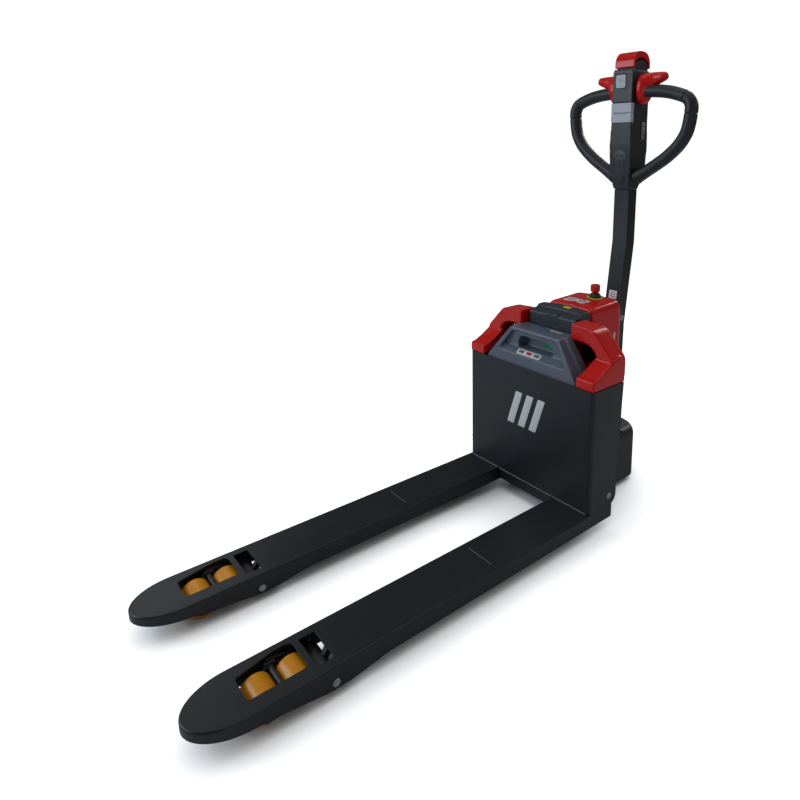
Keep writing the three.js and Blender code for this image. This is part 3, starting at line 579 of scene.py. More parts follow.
# a rounded rectangle about the origin
def roundedBox(width, height, corner, steps=4):
    points = []
    for cx, cy, start in ((1, 1, 0), (-1, 1, 90), (-1, -1, 180), (1, -1, 270)):
        x, y = cx * (width / 2 - corner), cy * (height / 2 - corner)
        points += arc(x, y, corner, corner, start, start + 90, steps)
    return points


# A plate or sticker: a rounded rectangle of its own thickness, spanned by two directions.
def makePlate(name, node, finish, centre, right, up, width, height, thick, corner):
    right, up = right.normalized(), up.normalized()
    out = right.cross(up).normalized()
    outline = roundedBox(width, height, corner)
    rings = []
    for inset, lift in ((0, 0), (0, thick * 0.7), (min(0.3, thick * 0.4), thick)):
        scaleX, scaleY = (width - 2 * inset) / width, (height - 2 * inset) / height
        steps = [right * u * scaleX + up * v * scaleY + out * lift for u, v in outline]
        rings.append([centre + step / 1000 for step in steps])
    return trim(node, loft(name, rings, 50), finish)


# A round bar along points, with its own radius at each one; deepen makes it oval.
def sweep(name, path, radii, sides=16, deepen=None):
    rings = []
    side = None
    for i, q in enumerate(path):
        along = (path[min(i + 1, len(path) - 1)] - path[max(i - 1, 0)]).normalized()
        if side is None:
            side = along.orthogonal().normalized()
        side = (side - along * side.dot(along)).normalized()
        other = along.cross(side)
        radius = (radii[i] if isinstance(radii, list) else radii) / 1000
        turns = [2 * math.pi * k / sides for k in range(sides)]
        ring = [(side * math.cos(a) + other * math.sin(a)) * radius for a in turns]
        if deepen:
            ring = [Vector((v.x, v.y * deepen[i], v.z)) for v in ring]
        rings.append([q + v for v in ring])
    return loft(name, rings, 60)


# A smooth curve through points, sampled evenly enough for a sweep.
def smoothPath(points, steps):
    out = []
    for i in range(len(points) - 1):
        p0, p1, p2, p3 = points[max(i - 1, 0)], points[i], points[i + 1], points[min(i + 2, len(points) - 1)]
        for k in range(steps):
            t = k / steps
            out.append(0.5 * ((2 * p1) + (p2 - p0) * t + (2 * p0 - 5 * p1 + 4 * p2 - p3) * t * t
                              + (3 * p1 - p0 - 3 * p2 + p3) * t ** 3))
    out.append(points[-1].copy())
    return out


tillerLead = {
    "route": [
        (0, 522, 1036.5), (0, 523, 1030), (0, 523.5, 1018), (0, 523, 1004), (0, 521, 990), (0, 519, 978),
    ],
    "thick": 5.2,
}


def makeTillerLead(spec):
    path = smoothPath([at(*q) for q in spec["route"]], 4)
    lead = dress("tiller_cable", sweep("tiller_lead", path, spec["thick"] / 2), "cableSheath")


makeTillerLead(tillerLead)
print("tiller lead made")


def workObject(mesh):
    thing = bpy.data.objects.new("work", mesh)
    scene.collection.objects.link(thing)
    return thing


# Solids joined, cut and, for a moulding, melted together so that every edge comes out round.
def carve(name, solids, cuts=(), keep=(), melt=0, relax=0):
    steps = [("UNION", mesh) for mesh in solids[1:]] + [("INTERSECT", mesh) for mesh in keep]
    steps += [("DIFFERENCE", mesh) for mesh in cuts]
    base = workObject(solids[0])
    helpers = []
    for operation, mesh in steps:
        helpers.append(workObject(mesh))
        step = base.modifiers.new("step", "BOOLEAN")
        step.operation, step.solver, step.object = operation, "EXACT", helpers[-1]
    if melt:
        grain = base.modifiers.new("melt", "REMESH")
        grain.mode, grain.voxel_size = "VOXEL", melt / 1000
    if relax:
        ease = base.modifiers.new("ease", "SMOOTH")
        ease.factor, ease.iterations = 0.5, relax
    graph = bpy.context.evaluated_depsgraph_get()
    mesh = bpy.data.meshes.new_from_object(base.evaluated_get(graph))
    mesh.name = name
    for thing in (base, *helpers):
        old = thing.data
        bpy.data.objects.remove(thing)
        bpy.data.meshes.remove(old)
    smoothShade(mesh, 180 if melt else 35)
    return mesh


# a moulding made with its piece's own melt and relax
def mould(name, spec, solids, cuts=(), keep=()):
    return carve(name, solids, cuts, keep, spec["melt"], spec["relax"])


def prism(axis, outline, start, end):
    turn = {
        "x": lambda u, v, w: (w, u, v),
        "y": lambda u, v, w: (u, w, v),
        "z": lambda u, v, w: (u, v, w),
    }[axis]
    return loft("prism", [[at(*turn(u, v, w)) for u, v in outline] for w in (start, end)])


def rectangle(x0, x1, y0, y1):
    return [(x0, y0), (x1, y0), (x1, y1), (x0, y1)]


def brick(x0, x1, y0, y1, z0, z1):
    return prism("z", rectangle(x0, x1, y0, y1), z0, z1)


# The corners of an outline turned to arcs.
def roundCorners(outline, radius, steps=5):
    out = []
    count = len(outline)
    for i, corner in enumerate(outline):
        here = Vector(corner)
        before, after = Vector(outline[i - 1]) - here, Vector(outline[(i + 1) % count]) - here
        reach = min(radius, before.length * 0.45, after.length * 0.45)
        start, end = here + before.normalized() * reach, here + after.normalized() * reach
        for k in range(steps + 1):
            t = k / steps
            out.append(tuple(start * (1 - t) ** 2 + here * 2 * t * (1 - t) + end * t * t))
    return out


def mirrorMesh(mesh, name):
    other = mesh.copy()
    other.name = name
    for vertex in other.vertices:
        vertex.co.x = -vertex.co.x
    other.flip_normals()
    return other


hands = {"left": -1, "right": 1}

fork = {
    "middle": 200, "half": 75, "tip": 110, "length": 1150, "heel": 112, "top": 82, "sheet": 5,
    # the fork's side view, kept from the straight block
    "skirt": [
        (113, 38), (-712, 38), (-726, 37), (-806, 26), (-818, 25), (-864, 25), (-872, 26), (-1000, 46),
        (-1151, 60), (-1151, 83), (113, 83),
    ],
    "rollerWindow": [(35, -1030), (35, -896), (-48, -896), (-57, -906), (-57, -935), (-37, -1030)],
    "linkWindow": rectangle(-50, 49, -881, -842),
    "windowCorners": {"rollerWindow": 7, "linkWindow": 3},
    "heelOpening": (40, 70),
    "pin": (-852, 39, 10),
    "rounding": 7, "otherEdges": 0.14,
}


def forkOutline(spec, x, inset):
    half, start = spec["half"] - inset, spec["tip"] - spec["length"]
    heel = spec["heel"] + (1 if inset else 0)
    return arc(x, start, half, spec["tip"] - inset, 180, 360, 48) + [(x + half, heel), (x - half, heel)]


def makeFork(side, spec):
    x = hands[side] * spec["middle"]
    half, top, sheet = spec["half"], spec["top"], spec["sheet"]
    y, z, radius = spec["pin"]
    cuts = [prism("z", forkOutline(spec, x, sheet), -1, top - sheet)]
    for key, corner in spec["windowCorners"].items():
        window = [(x + u, v) for u, v in spec[key]]
        cuts.append(prism("z", roundCorners(window, corner), top - 12, top + 1))
    heelY, heelZ = spec["heelOpening"]
    cuts.append(brick(x - half + sheet, x + half - sheet, heelY, spec["heel"] + 1, heelZ, top + 1))
    hole = [(0, -90), (radius + 0.6, -90), (radius + 0.6, 90), (0, 90)]
    cuts.append(lathe("pinHole", at(x, y, z), "x", hole))
    solids = [prism("z", forkOutline(spec, x, 0), 0, top)]
    mesh = carve("fork_shell_" + side, solids, cuts, [prism("x", spec["skirt"], x - 90, x + 90)])

    # the top's outer edge gets the whole rounding, the other edges a part of it
    def weighEdges(edit):
        share = edit.edges.layers.float.new("bevel_weight_edge")
        for edge in edit.edges:
            if len(edge.link_faces) != 2 or edge.calc_face_angle(0) < math.radians(25):
                continue
            outer = all(v.co.z > (top - 0.5) / 1000 for v in edge.verts)
            for v in edge.verts:
                u = (v.co.x * 1000 - x) / half
                w = min(0, (v.co.y - loadFaceY) * 1000 + spec["length"] - spec["tip"]) / spec["tip"]
                outer = outer and u * u + w * w > 0.96
            edge[share] = 1.0 if outer else spec["otherEdges"]

    joinFlats(mesh, 1e-6, 0.5, weighEdges)
    smoothShade(mesh)
    roundEdges(dress("fork_" + side, mesh), spec["rounding"], 5, "WEIGHT")


for side in hands:
    makeFork(side, fork)

# a dark plate on either hand of the load wheels, inside the fork: painted shade that stands for the shadowed
# floor seen through the roller window
windowShadeLiner = {
    "inner": 59.8, "outer": 62.6,
    "outline": [(-873, 76.6), (-873, 36), (-900, 30), (-1004, 30), (-1034, 47), (-1034, 76.6)],
}
# a painted line across each fork that shows where a short pallet ends
loadMark = {"y": -373, "from": -48, "to": 46, "wide": 1.6, "thick": 0.25, "corner": 0.5}


def makeWindowShadeLiner(side, spec):
    x = hands[side] * fork["middle"]
    plates = [prism("x", spec["outline"], x + s * spec["inner"], x + s * spec["outer"]) for s in (-1, 1)]
    # painted shade: black plates put where the window shows only the shadowed floor
    trim("fork_" + side, carve("window_shade_liner_" + side, plates), "blackPaint")


def makeLoadMark(side, spec):
    middle = at(hands[side] * fork["middle"] + (spec["from"] + spec["to"]) / 2, spec["y"], fork["top"])
    makePlate("load_mark_" + side, "fork_left", "scribedLine", middle, across, backward,
              spec["to"] - spec["from"], spec["wide"], spec["thick"], spec["corner"])


for side in hands:
    makeWindowShadeLiner(side, windowShadeLiner)
for side in hands:
    makeLoadMark(side, loadMark)

weldBead = {
    "radius": 2.6, "ripple": 0.16, "pitch": 2.6,
    "runs": {
        "weld_front_left": ((-127, -0.6, 82.2), (-264, -0.6, 82.2)),
        "weld_front_right": ((127, -0.6, 82.2), (264, -0.6, 82.2)),
        "weld_beam": ((-124, 0.6, 81.2), (124, 0.6, 81.2)),
    },
}


def makeWeld(name, start, end, spec):
    length = (end - start).length * 1000
    count = max(8, int(length / spec["pitch"] * 4))
    path, radii = [], []
    for i in range(count + 1):
        t = i / count
        wander = 0.35 * math.sin(length * t * 0.11) + 0.2 * math.sin(length * t * 0.37)
        path.append(start.lerp(end, t) + Vector((0, 0, wander / 1000)))
        ripple = 1 + spec["ripple"] * abs(math.sin(math.pi * t * length / spec["pitch"]))
        taper = min(1, (t * length + 1) / 4, ((1 - t) * length + 1) / 4)
        radii.append(spec["radius"] * ripple * (0.45 + 0.55 * taper))
    trim("front_housing", sweep(name, path, radii, 10), "weldBead")


for name, (start, end) in weldBead["runs"].items():
    makeWeld(name, at(*start), at(*end), weldBead)
print("forks and welds made")

loadRoller = {
    "tyre": [
        (12.5, -35), (17, -35), (18.5, -33.6), (29, -33.6), (30.5, -35), (33.5, -34.7), (35.9, -33),
        (36.9, -30.5), (37, -27), (37, 27), (36.9, 30.5), (35.9, 33), (33.5, 34.7), (30.5, 35), (29, 33.6),
        (18.5, 33.6), (17, 35), (12.5, 35),
    ],
    "axle": [
        (0, -46), (5.2, -46), (6, -45.2), (6, -35.8), (11.8, -35.4), (11.8, 35.4), (6, 35.8), (6, 45.2),
        (5.2, 46), (0, 46),
    ],
}


# a turned piece at the middle of its CAD solid, on the cross axis
def turnAt(node, name, profile, steps, finish=None):
    low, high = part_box(node)
    dress(node, lathe(name, (low + high) / 2, "x", profile, steps), finish)


for side in hands:
    for end in ("front", "rear"):
        here = side + "_" + end
        turnAt("load_roller_" + here, "roller_tyre_" + here, loadRoller["tyre"], 72)
        turnAt("roller_axle_" + here, "roller_pin_" + here, loadRoller["axle"], 40)

# A bogie: two deep side plates, straps between the rollers, and bosses round the pin and the axles.
bogie = {
    "y": -952, "pitch": 79, "axle": 37, "pin": 61, "plate": (39.6, 45.4), "deep": 19,
    "neck": [(18, 63), (11, 72), (-11, 72), (-18, 63)],
    "straps": {"half": 42, "thick": 3, "deep": 8, "z": (24, 45)},
    "bosses": {"axle": 10, "pin": 11, "reach": 46.6, "edge": 0.6},
}


def makeBogie(side, spec):
    x, y, axle = hands[side] * fork["middle"], spec["y"], spec["axle"]
    reach, deep = spec["pitch"] / 2, spec["deep"]
    outline = arc(y + reach, axle, deep, deep, -90, 90, 12)
    outline += [(y + u, z) for u, z in spec["neck"]]
    outline += arc(y - reach, axle, deep, deep, 90, 270, 12)
    inner, outer = spec["plate"]
    straps, bosses = spec["straps"], spec["bosses"]
    solids = [prism("x", outline, x + s * inner, x + s * outer) for s in (-1, 1)]
    for z in straps["z"]:
        half, thick, tall = straps["half"], straps["thick"] / 2, straps["deep"] / 2
        solids.append(brick(x - half, x + half, y - thick, y + thick, z - tall, z + tall))
    bossPlaces = [(u, axle, bosses["axle"]) for u in (-reach, reach)] + [(0, spec["pin"], bosses["pin"])]
    for s in (-1, 1):
        for u, z, r in bossPlaces:
            end = s * bosses["reach"]
            boss = [(0, s * outer), (r, s * outer), (r - bosses["edge"], end), (0, end)]
            solids.append(lathe("boss", at(x, y + u, z), "x", boss, 28))
    roundEdges(dress("bogie_" + side, carve("bogie_frame_" + side, solids)), 0.9)


for side in hands:
    makeBogie(side, bogie)

pins = {
    "fork_pin": {"steps": 48, "finish": "turnedSteel", "profile": [
        (0, -73.9), (3, -73.9), (4, -74.7), (8.8, -74.7), (9.9, -73.6), (9.9, 73.6), (8.8, 74.7), (4, 74.7),
        (3, 73.9), (0, 73.9),
    ]},
    "bogie_pin": {"steps": 36, "finish": "blackPaint", "profile": [
        (0, -58), (6, -58), (7, -57), (7, 57), (6, 58), (0, 58),
    ]},
}
for name, spec in pins.items():
    for side in hands:
        node = name + "_" + side
        turnAt(node, node + "_turned", spec["profile"], spec["steps"], spec["finish"])

pivotBolt = {
    "y": 98, "z": 113,
    "profile": [
        (0, 249), (9.6, 249), (9.6, 269.6), (10.6, 269.6), (10.6, 273.6), (9.7, 274.6), (7.2, 274.8),
        (6.6, 274.1), (3.4, 274.1), (3.0, 272.5), (0, 272.5),
    ],
}
for side, hand in hands.items():
    profile = [(r, hand * t) for r, t in pivotBolt["profile"]]
    centre = at(0, pivotBolt["y"], pivotBolt["z"])
    dress("pivot_bolt_" + side, lathe("pivot_bolt_head_" + side, centre, "x", profile))
print("rollers and pins made")

armCover = {
    # the foot is drawn from the side, the shoulder and the web from the load end
    "foot": [
        (-0.4, 477.4), (152, 477.4), (153.6, 546), (128, 564), (100, 556), (76, 543), (50, 527), (20, 513),
        (-0.4, 508),
    ],
    "shoulder": [
        (216, 500), (274.6, 500), (274.6, 546), (270, 560), (208, 625), (198, 632), (182, 636),
        (110.6, 640.4), (110.6, 589), (160, 588), (180, 585), (196, 577), (207, 565), (213, 552), (216, 538),
    ],
    "web": [
        (101.5, 500), (219, 500), (219, 540), (212, 562), (200, 577), (184, 587), (160, 592), (118, 594),
        (118, 632), (101.5, 634),
    ],
    "footAcross": (205.6, 274.8), "shoulderDeep": (84.2, 153.8), "webDeep": (154.6, 157.4),
    "melt": 2.2, "relax": 18,
}


def makeArmCovers(spec):
    foot = prism("x", spec["foot"], *spec["footAcross"])
    shoulder = prism("y", spec["shoulder"], *spec["shoulderDeep"])
    notch = prism("x", [(0, 470), (0, 478.5), (40, 478.5), (40, 470)], 260, 262)
    mesh = mould("arm_cover_shell_right", spec, [foot, shoulder], [notch])
    for side, hand in hands.items():
        web = roundCorners([(hand * x, z) for x, z in spec["web"]], 4)
        web = carve("cover_web_" + side, [prism("y", web, *spec["webDeep"])], melt=0.9, relax=1)
        trim("arm_cover_" + side, web, "blackPaint")
        dress("arm_cover_" + side, mesh if hand > 0 else mirrorMesh(mesh, "arm_cover_shell_left"))


makeArmCovers(armCover)

battery = {
    # each level's height, half width, front and rear
    "wide": [
        (470, 197, 9, 83), (483, 194, 9.4, 83), (540, 150.5, 20.5, 83), (594, 108, 32, 83),
        (597, 104, 36, 83),
    ],
    "shoulder": [(483, 199, 50, 83), (540, 162, 52, 83), (588, 124, 56, 83), (597, 113, 62, 83)],
    "recess": [(-149, 511), (149, 511), (97, 584), (-97, 584)],
    "recessSide": [(-2, 508), (16, 512), (37, 529), (40, 534), (40, 590), (-2, 590)],
    "slot": [(-81, 530), (81, 530), (69, 569), (-69, 569)],
    # the cell box below, and the neck behind it
    "cells": (-199.8, 199.8, 8.2, 83, 154.5, 474),
    "neckTop": (-106.6, 106.6, 80, 110.8, 470, 595.5), "neck": (-106.6, 106.6, 80, 110.8, 154.5, 474),
    "melt": 2.4, "relax": 3,
}


def stack(name, levels):
    return loft(name, [[at(x, y, z) for x, y in rectangle(-w, w, y0, y1)] for z, w, y0, y1 in levels])


def makeBattery(spec):
    recess = carve("recess", [prism("y", roundCorners(spec["recess"], 13), -2, 40)],
                   keep=[prism("x", roundCorners(spec["recessSide"], 6), -150, 150)])
    solids = [stack("upper", spec["wide"]), stack("shoulder", spec["shoulder"])]
    solids += [brick(*spec[key]) for key in ("neckTop", "cells", "neck")]
    cuts = [recess, prism("y", roundCorners(spec["slot"], 15), 30, 74)]
    dress("battery_case", mould("battery_shell", spec, solids, cuts))


makeBattery(battery)

# the battery's lid: a stepped cap, higher and crowned behind
lid = {
    "half": 99.8, "crown": 6.5, "melt": 1.8, "relax": 2,
    # behind the loading face, height, and the share of the crown there
    "profile": [
        (114.2, 595, 0), (114.2, 634, 0), (116, 639, 0), (120, 641.5, 0), (146, 645, 0.3), (151, 646.5, 0.4),
        (155, 652, 0.6), (160, 654, 0.8), (184, 655, 1), (191, 651, 1), (193.6, 644, 1), (193.8, 598, 0),
        (118.8, 598, 0), (118.8, 595, 0),
    ],
    "inside": [(118.5, 586), (118.5, 636), (150, 640), (158, 648), (189, 649), (189, 586)],
    "insideHalf": 95.5,
    "latch": [(113.2, 610), (113.2, 641.6), (117, 644.8), (137, 647.4), (137, 640), (116, 632), (116, 610)],
    "latchHalf": 27,
}


def makeLid(spec):
    rings = []
    for i in range(21):
        x = -spec["half"] + 2 * spec["half"] * i / 20
        crown = spec["crown"] * (1 - (x / spec["half"]) ** 2)
        rings.append([at(x, y, z + crown * k) for y, z, k in spec["profile"]])
    inside = prism("x", spec["inside"], -spec["insideHalf"], spec["insideHalf"])
    dress("battery_lid", mould("lid_shell", spec, [loft("lid", rings)], [inside]))


makeLid(lid)

# the bay's rear wall, just behind the battery
bayWall = {"outline": rectangle(-98, 98, 480, 596.2), "deep": (111.9, 113.0), "corner": 2}
wall = prism("y", roundCorners(bayWall["outline"], bayWall["corner"]), *bayWall["deep"])
trim("front_housing", carve("bay_wall", [wall]), "blackPaint")

hood = {
    "half": 96.8, "bottom": 354.4, "melt": 2.8, "relax": 4,
    # sections from front to rear: behind the loading face, and how much each is drawn in
    "sections": [(206.8, 9), (208.6, 5), (213, 1.5), (220, 0), (300, 0), (352, 0), (358, 2), (365.8, 8)],
    "roof": {"from": 206, "to": 352, "low": 659, "rise": 7, "highest": 674.2, "crown": 9, "fall": 1.6},
    "inside": [(-92, 353), (92, 353), (92, 622), (80, 634), (-80, 634), (-92, 622)],
    "insideDeep": (215, 356),
    "tillerRoom": [(326, 350), (370, 350), (370, 437)],
}


# height of the hood's roof
def hoodRoof(x, y):
    roof = hood["roof"]
    slope = roof["rise"] * (y - roof["from"]) / (roof["to"] - roof["from"])
    rise = roof["low"] + slope + roof["crown"] * (1 - (x / 97) ** 2) - roof["crown"] * 0.2
    return min(rise, roof["highest"]) if y < roof["to"] else rise - (y - roof["to"]) * roof["fall"]


def makeHood(spec):
    rings = []
    for y, shrink in spec["sections"]:
        half = spec["half"] - shrink * 0.4
        ring = [at(-half, y, spec["bottom"]), at(half, y, spec["bottom"])]
        for i in range(17):
            a = math.pi * i / 16
            x = half * math.copysign(abs(math.cos(a)) ** 0.22, math.cos(a))
            edge = 1 - abs(math.cos(a)) ** 6
            ring.append(at(x, y, hoodRoof(x, y) - shrink - 13 * (1 - edge)))
        rings.append(ring)
    cuts = [prism("y", spec["inside"], *spec["insideDeep"]), prism("x", spec["tillerRoom"], -120, 120)]
    dress("rear_hood", mould("hood_shell", spec, [loft("hood", rings)], cuts))


makeHood(hood)
print("covers, battery, lid and hood made")

stopKnob = {
    "x": 18, "y": 318, "flutes": 14, "depth": 0.05, "fluted": (0.694, 0.7135, 0.0155),
    "cap": [
        (0, 677), (8, 677), (8, 690), (13.6, 690.8), (15.4, 692.6), (16.2, 695), (16.5, 698), (16.5, 711),
        (15.6, 714.2), (13.4, 716.2), (9, 717), (0, 716.4),
    ],
    "collar": [
        (8.8, 674.8), (20.8, 674.8), (20.8, 678), (17.6, 681), (15.5, 685.6), (14.4, 686), (8.8, 686),
    ],
}


def makeStopKnob(spec):
    centre = at(spec["x"], spec["y"], 0)
    cap = lathe("stop_cap", centre, "z", spec["cap"], 112)
    low, high, inner = spec["fluted"]
    for vertex in cap.vertices:
        out = Vector((vertex.co.x - centre.x, vertex.co.y - centre.y))
        if low < vertex.co.z < high and out.length > inner:
            angle = math.atan2(out.y, out.x)
            out *= 1 - spec["depth"] * max(0, math.cos(spec["flutes"] * angle))
            vertex.co.x, vertex.co.y = centre.x + out.x, centre.y + out.y
    dress("stop_knob", cap)
    dress("stop_collar", lathe("stop_collar_ring", centre, "z", spec["collar"], 64))


makeStopKnob(stopKnob)


# A sticker that follows a surface: rings of points drawn in to the middle, with its own thickness.
def makeSkin(name, node, finish, surface, width, height, thick, corner):
    outline = roundedBox(width, height, corner, 5)
    levels = [(1, -0.3), (1, thick * 0.6)]
    levels += [(scale, thick) for scale in (1 - 0.6 * thick / width, 0.66, 0.33, 0.02)]
    rings = [[surface(u * scale, v * scale, lift) for u, v in outline] for scale, lift in levels]
    trim(node, loft(name, rings, 50), finish)


# plain slanting bars on the load side
plateBars = {"wide": 30, "high": 118, "pitch": 50, "lean": 0.34, "z": 332, "corner": 3, "thick": 0.3}


def makePlateBar(i, spec):
    def onPlate(u, v, lift):
        return at((i - 1) * spec["pitch"] + u + spec["lean"] * v, -lift, spec["z"] + v)
    size = (spec["wide"], spec["high"], spec["thick"], spec["corner"])
    makeSkin("plate_bar_%d" % i, "fork_left", "labelWhite", onPlate, *size)


for i in range(3):
    makePlateBar(i, plateBars)

# the hood's signs: finish, middle, width, depth, thickness and corner
hoodSigns = {
    "stop_plate": ("signalYellow", (18, 318), 58, 54, 0.5, 24),
    "hood_label": ("labelWhite", (-8, 250), 92, 40, 0.5, 3),
    "hood_label_line_a": ("labelInk", (-28, 258), 34, 4, 0.8, 1),
    "hood_label_line_b": ("labelInk", (-28, 248), 34, 4, 0.8, 1),
    "hood_label_line_c": ("labelInk", (-33, 239), 24, 4, 0.8, 1),
    "hood_label_dot": ("coverRed", (18, 250), 24, 24, 0.8, 11.9),
    "hood_label_dot_eye": ("labelWhite", (18, 250), 14, 14, 1.0, 6.9),
}


def makeHoodSign(name, finish, middle, *size):
    def onRoof(u, v, lift):
        x, y = middle[0] + u, middle[1] + v
        return at(x, y, hoodRoof(x, y) + lift)
    makeSkin(name, "rear_hood", finish, onRoof, *size)


for name, spec in hoodSigns.items():
    makeHoodSign(name, *spec)

batteryRecess = battery["recessSide"]
recessUp = Vector((0, batteryRecess[2][0] - batteryRecess[1][0], batteryRecess[2][1] - batteryRecess[1][1]))
# flat stickers, marks and lamps: the node they ride with, finish, middle, two directions, width, height,
# thickness and corner
flatSigns = {
    "hood_strip": ("rear_hood", "labelWhite", (97.0, 330, 532), backward, upward, 9, 56, 0.5, 1),
    "battery_label": ("battery_case", "labelWhite", (-14, 26.0, 520.2), across, recessUp, 104, 20, 0.5, 2.5),
    "charge_lamp": ("battery_case", "lampGreen", (-55, 89, 595.0), across, backward, 9, 7, 1.4, 3),
    "charge_badge": ("battery_case", "badgeBlue", (-16, 88, 595.0), across, backward, 38, 22, 1.2, 8),
    "top_label": ("battery_case", "labelWhite", (44, 91, 595.0), across, backward, 48, 13, 1.0, 1.5),
    "top_label_line": ("battery_case", "labelInk", (44, 91, 595.2), across, backward, 38, 4, 1.1, 1),
    "slot_board": ("battery_case", "lampGreen", (38, 70, 552), across, upward, 44, 20, 1.0, 2),
    "lid_patch": ("battery_lid", "signalYellow", (22, 170, 656.6), across, backward, 30, 16, 5.0, 2),
    "head_plate": ("control_head", "plateBrass", (43.6, 514, 1237), backward, upward, 17, 58, 0.8, 2),
    "horn_mark_0": ("horn_button", "plateBrass", (-6, 442.5, 1404), across, upward, 16, 1.6, 0.5, 0.6),
    "horn_mark_1": ("horn_button", "plateBrass", (-6, 442.5, 1398), across, upward, 10, 1.6, 0.5, 0.6),
}
for i, (finish, x) in enumerate((("labelInk", -48), ("coverRed", -14), ("labelInk", 20))):
    mark = ("battery_case", finish, (x, 25.7, 520.4), across, recessUp, 22, 11, 0.8, 1.5)
    flatSigns["battery_label_mark_%d" % i] = mark
for i, z in enumerate((1222, 1238, 1252)):
    line = ("control_head", "blackPaint", (43.8, 514, z), backward, upward, 10, 4, 0.9, 1)
    flatSigns["head_plate_line_%d" % i] = line
for name, (node, finish, middle, *rest) in flatSigns.items():
    makePlate(name, node, finish, at(*middle), *rest)

latch = prism("x", roundCorners(lid["latch"], 2), -lid["latchHalf"], lid["latchHalf"])
trim("battery_lid", carve("lid_latch", [latch], melt=1.2, relax=3), "lidBlack")

lidScrew = {
    "profile": [(0, 0), (4.4, 0), (4.4, 2.0), (3.8, 2.6), (2, 2.6), (1.6, 1.4), (0, 1.4)],
    "places": [((-74, 176, 655.6), "turnedSteel"), ((76, 166, 654.2), "blackPaint")],
}
for i, (place, finish) in enumerate(lidScrew["places"]):
    trim("battery_lid", lathe("lid_screw_%d" % i, at(*place), "z", lidScrew["profile"], 24), finish)
print("signs and small parts made")

head = {
    "profile": [
        (467, 1035), (516, 1035), (530, 1062), (540, 1110), (544, 1200), (544, 1428), (540, 1440),
        (534, 1444.5), (452, 1444.5), (446.5, 1440), (445, 1434), (445, 1190), (446.5, 1150), (449, 1120),
        (455, 1055), (459, 1042),
    ],
    # right half of the front view, from the foot up
    "front": [
        (31, 1035), (33, 1050), (38, 1080), (43, 1115), (44, 1150), (44, 1195), (42, 1235), (40.2, 1262),
        (40, 1430), (37.5, 1440), (32, 1444.6),
    ],
    "hornPocket": rectangle(-26.6, 14.6, 1377.4, 1422.6),
    # room for the reverse cap, then for the rocker's front and its two cheeks
    "pockets": [
        (-39.8, 39.8, 449.6, 547, 1436.6, 1450), (-50, 50, 440, 451, 1263.5, 1329.5),
        (-50, -36.5, 440, 462, 1263.5, 1329.5), (36.5, 50, 440, 462, 1263.5, 1329.5),
    ],
    "neck": {"y": 498, "z": 1444, "size": (37, 27), "foot": 1430, "half": 37.4},
    "line": [(1035, 467), (1042, 459), (1055, 455), (1120, 449), (1150, 446.5), (1190, 445), (1500, 445)],
    "melt": 2.2, "relax": 3,
}


def makeHead(spec):
    front = [(-31, 1035)] + spec["front"] + [(-x, z) for x, z in reversed(spec["front"][1:])]
    cuts = [prism("y", roundCorners(spec["hornPocket"], 5), 440, 455.5)]
    cuts += [brick(*size) for size in spec["pockets"]]
    block = prism("x", spec["profile"], -60, 60)
    dress("control_head", mould("head_shell", spec, [block], cuts, [prism("y", front, 400, 600)]))
    neck = spec["neck"]
    top = arc(neck["y"], neck["z"], *neck["size"], 180, 0, 14)
    arch = [(top[0][0], neck["foot"])] + top + [(top[-1][0], neck["foot"])]
    arched = prism("x", arch, -neck["half"], neck["half"])
    trim("control_head", carve("head_neck", [arched], melt=2.0, relax=2), "softBlack")


# the head's front line, from the foot up
def headFront(z):
    for (z0, y0), (z1, y1) in zip(head["line"], head["line"][1:]):
        if z <= z1:
            return y0 + (y1 - y0) * (z - z0) / (z1 - z0)
    return head["line"][-1][1]


makeHead(head)
# raised panels low on the head: finish, middle, width, height, thickness and corner
archPanels = {
    "head_arch": ("softBlack", 1113, 72, 122, 1.6, 34),
    "head_oval": ("gripFoam", 1106, 50, 92, 2.6, 24),
}


def makeArchPanel(name, finish, middle, *size):
    def onFront(u, v, lift):
        z = middle + v
        narrow = min(1, 0.62 + 0.38 * (z - 1040) / 90)
        return at(u * narrow, headFront(z) + 0.4 - lift, z)
    makeSkin(name, "control_head", finish, onFront, *size)


for name, spec in archPanels.items():
    makeArchPanel(name, *spec)

# the reverse button: a red crescent over the neck
reverseCap = {
    "centre": (498, 1453), "outer": (46.8, 45.8), "inner": (38.4, 25.4), "skirt": 8.4, "half": 38.6,
    "melt": 1.6, "relax": 2,
}


def makeReverseCap(spec):
    y, z = spec["centre"]
    (outerY, outerZ), (innerY, innerZ), foot = spec["outer"], spec["inner"], z - spec["skirt"]
    outline = []
    for k in range(25):
        a = math.pi * k / 24
        reach = math.copysign(abs(math.cos(a)) ** 0.8, math.cos(a))
        outline.append((y + outerY * reach, z + outerZ * math.sin(a) ** 0.85))
    outline += [(y - outerY, foot), (y - innerY, foot)]
    outline += arc(y, z, innerY, innerZ, 180, 0, 16) + [(y + innerY, foot), (y + outerY, foot)]
    cap = prism("x", outline, -spec["half"], spec["half"])
    dress("reverse_button", mould("reverse_cap", spec, [cap]))


makeReverseCap(reverseCap)

hornKey = {"outline": rectangle(-25.8, 13.8, 1378.2, 1421.8), "corner": 7, "deep": (442.2, 449.3)}
key = prism("y", roundCorners(hornKey["outline"], hornKey["corner"]), *hornKey["deep"])
dress("horn_button", carve("horn_key", [key], melt=0.9, relax=5))

# the rocker's two halves: height from and to, shared width and depth, and the hollow behind
rocker = {
    "keys": {"raise_button": (1296.9, 1328.8), "lower_button": (1264.2, 1296.2)},
    "body": (-41, 41, 443.1, 459.8), "hollow": (-37, 37, 450, 461),
    "seam": {"half": 30, "step": 5, "wire": 0.9, "end": 0.3},
}


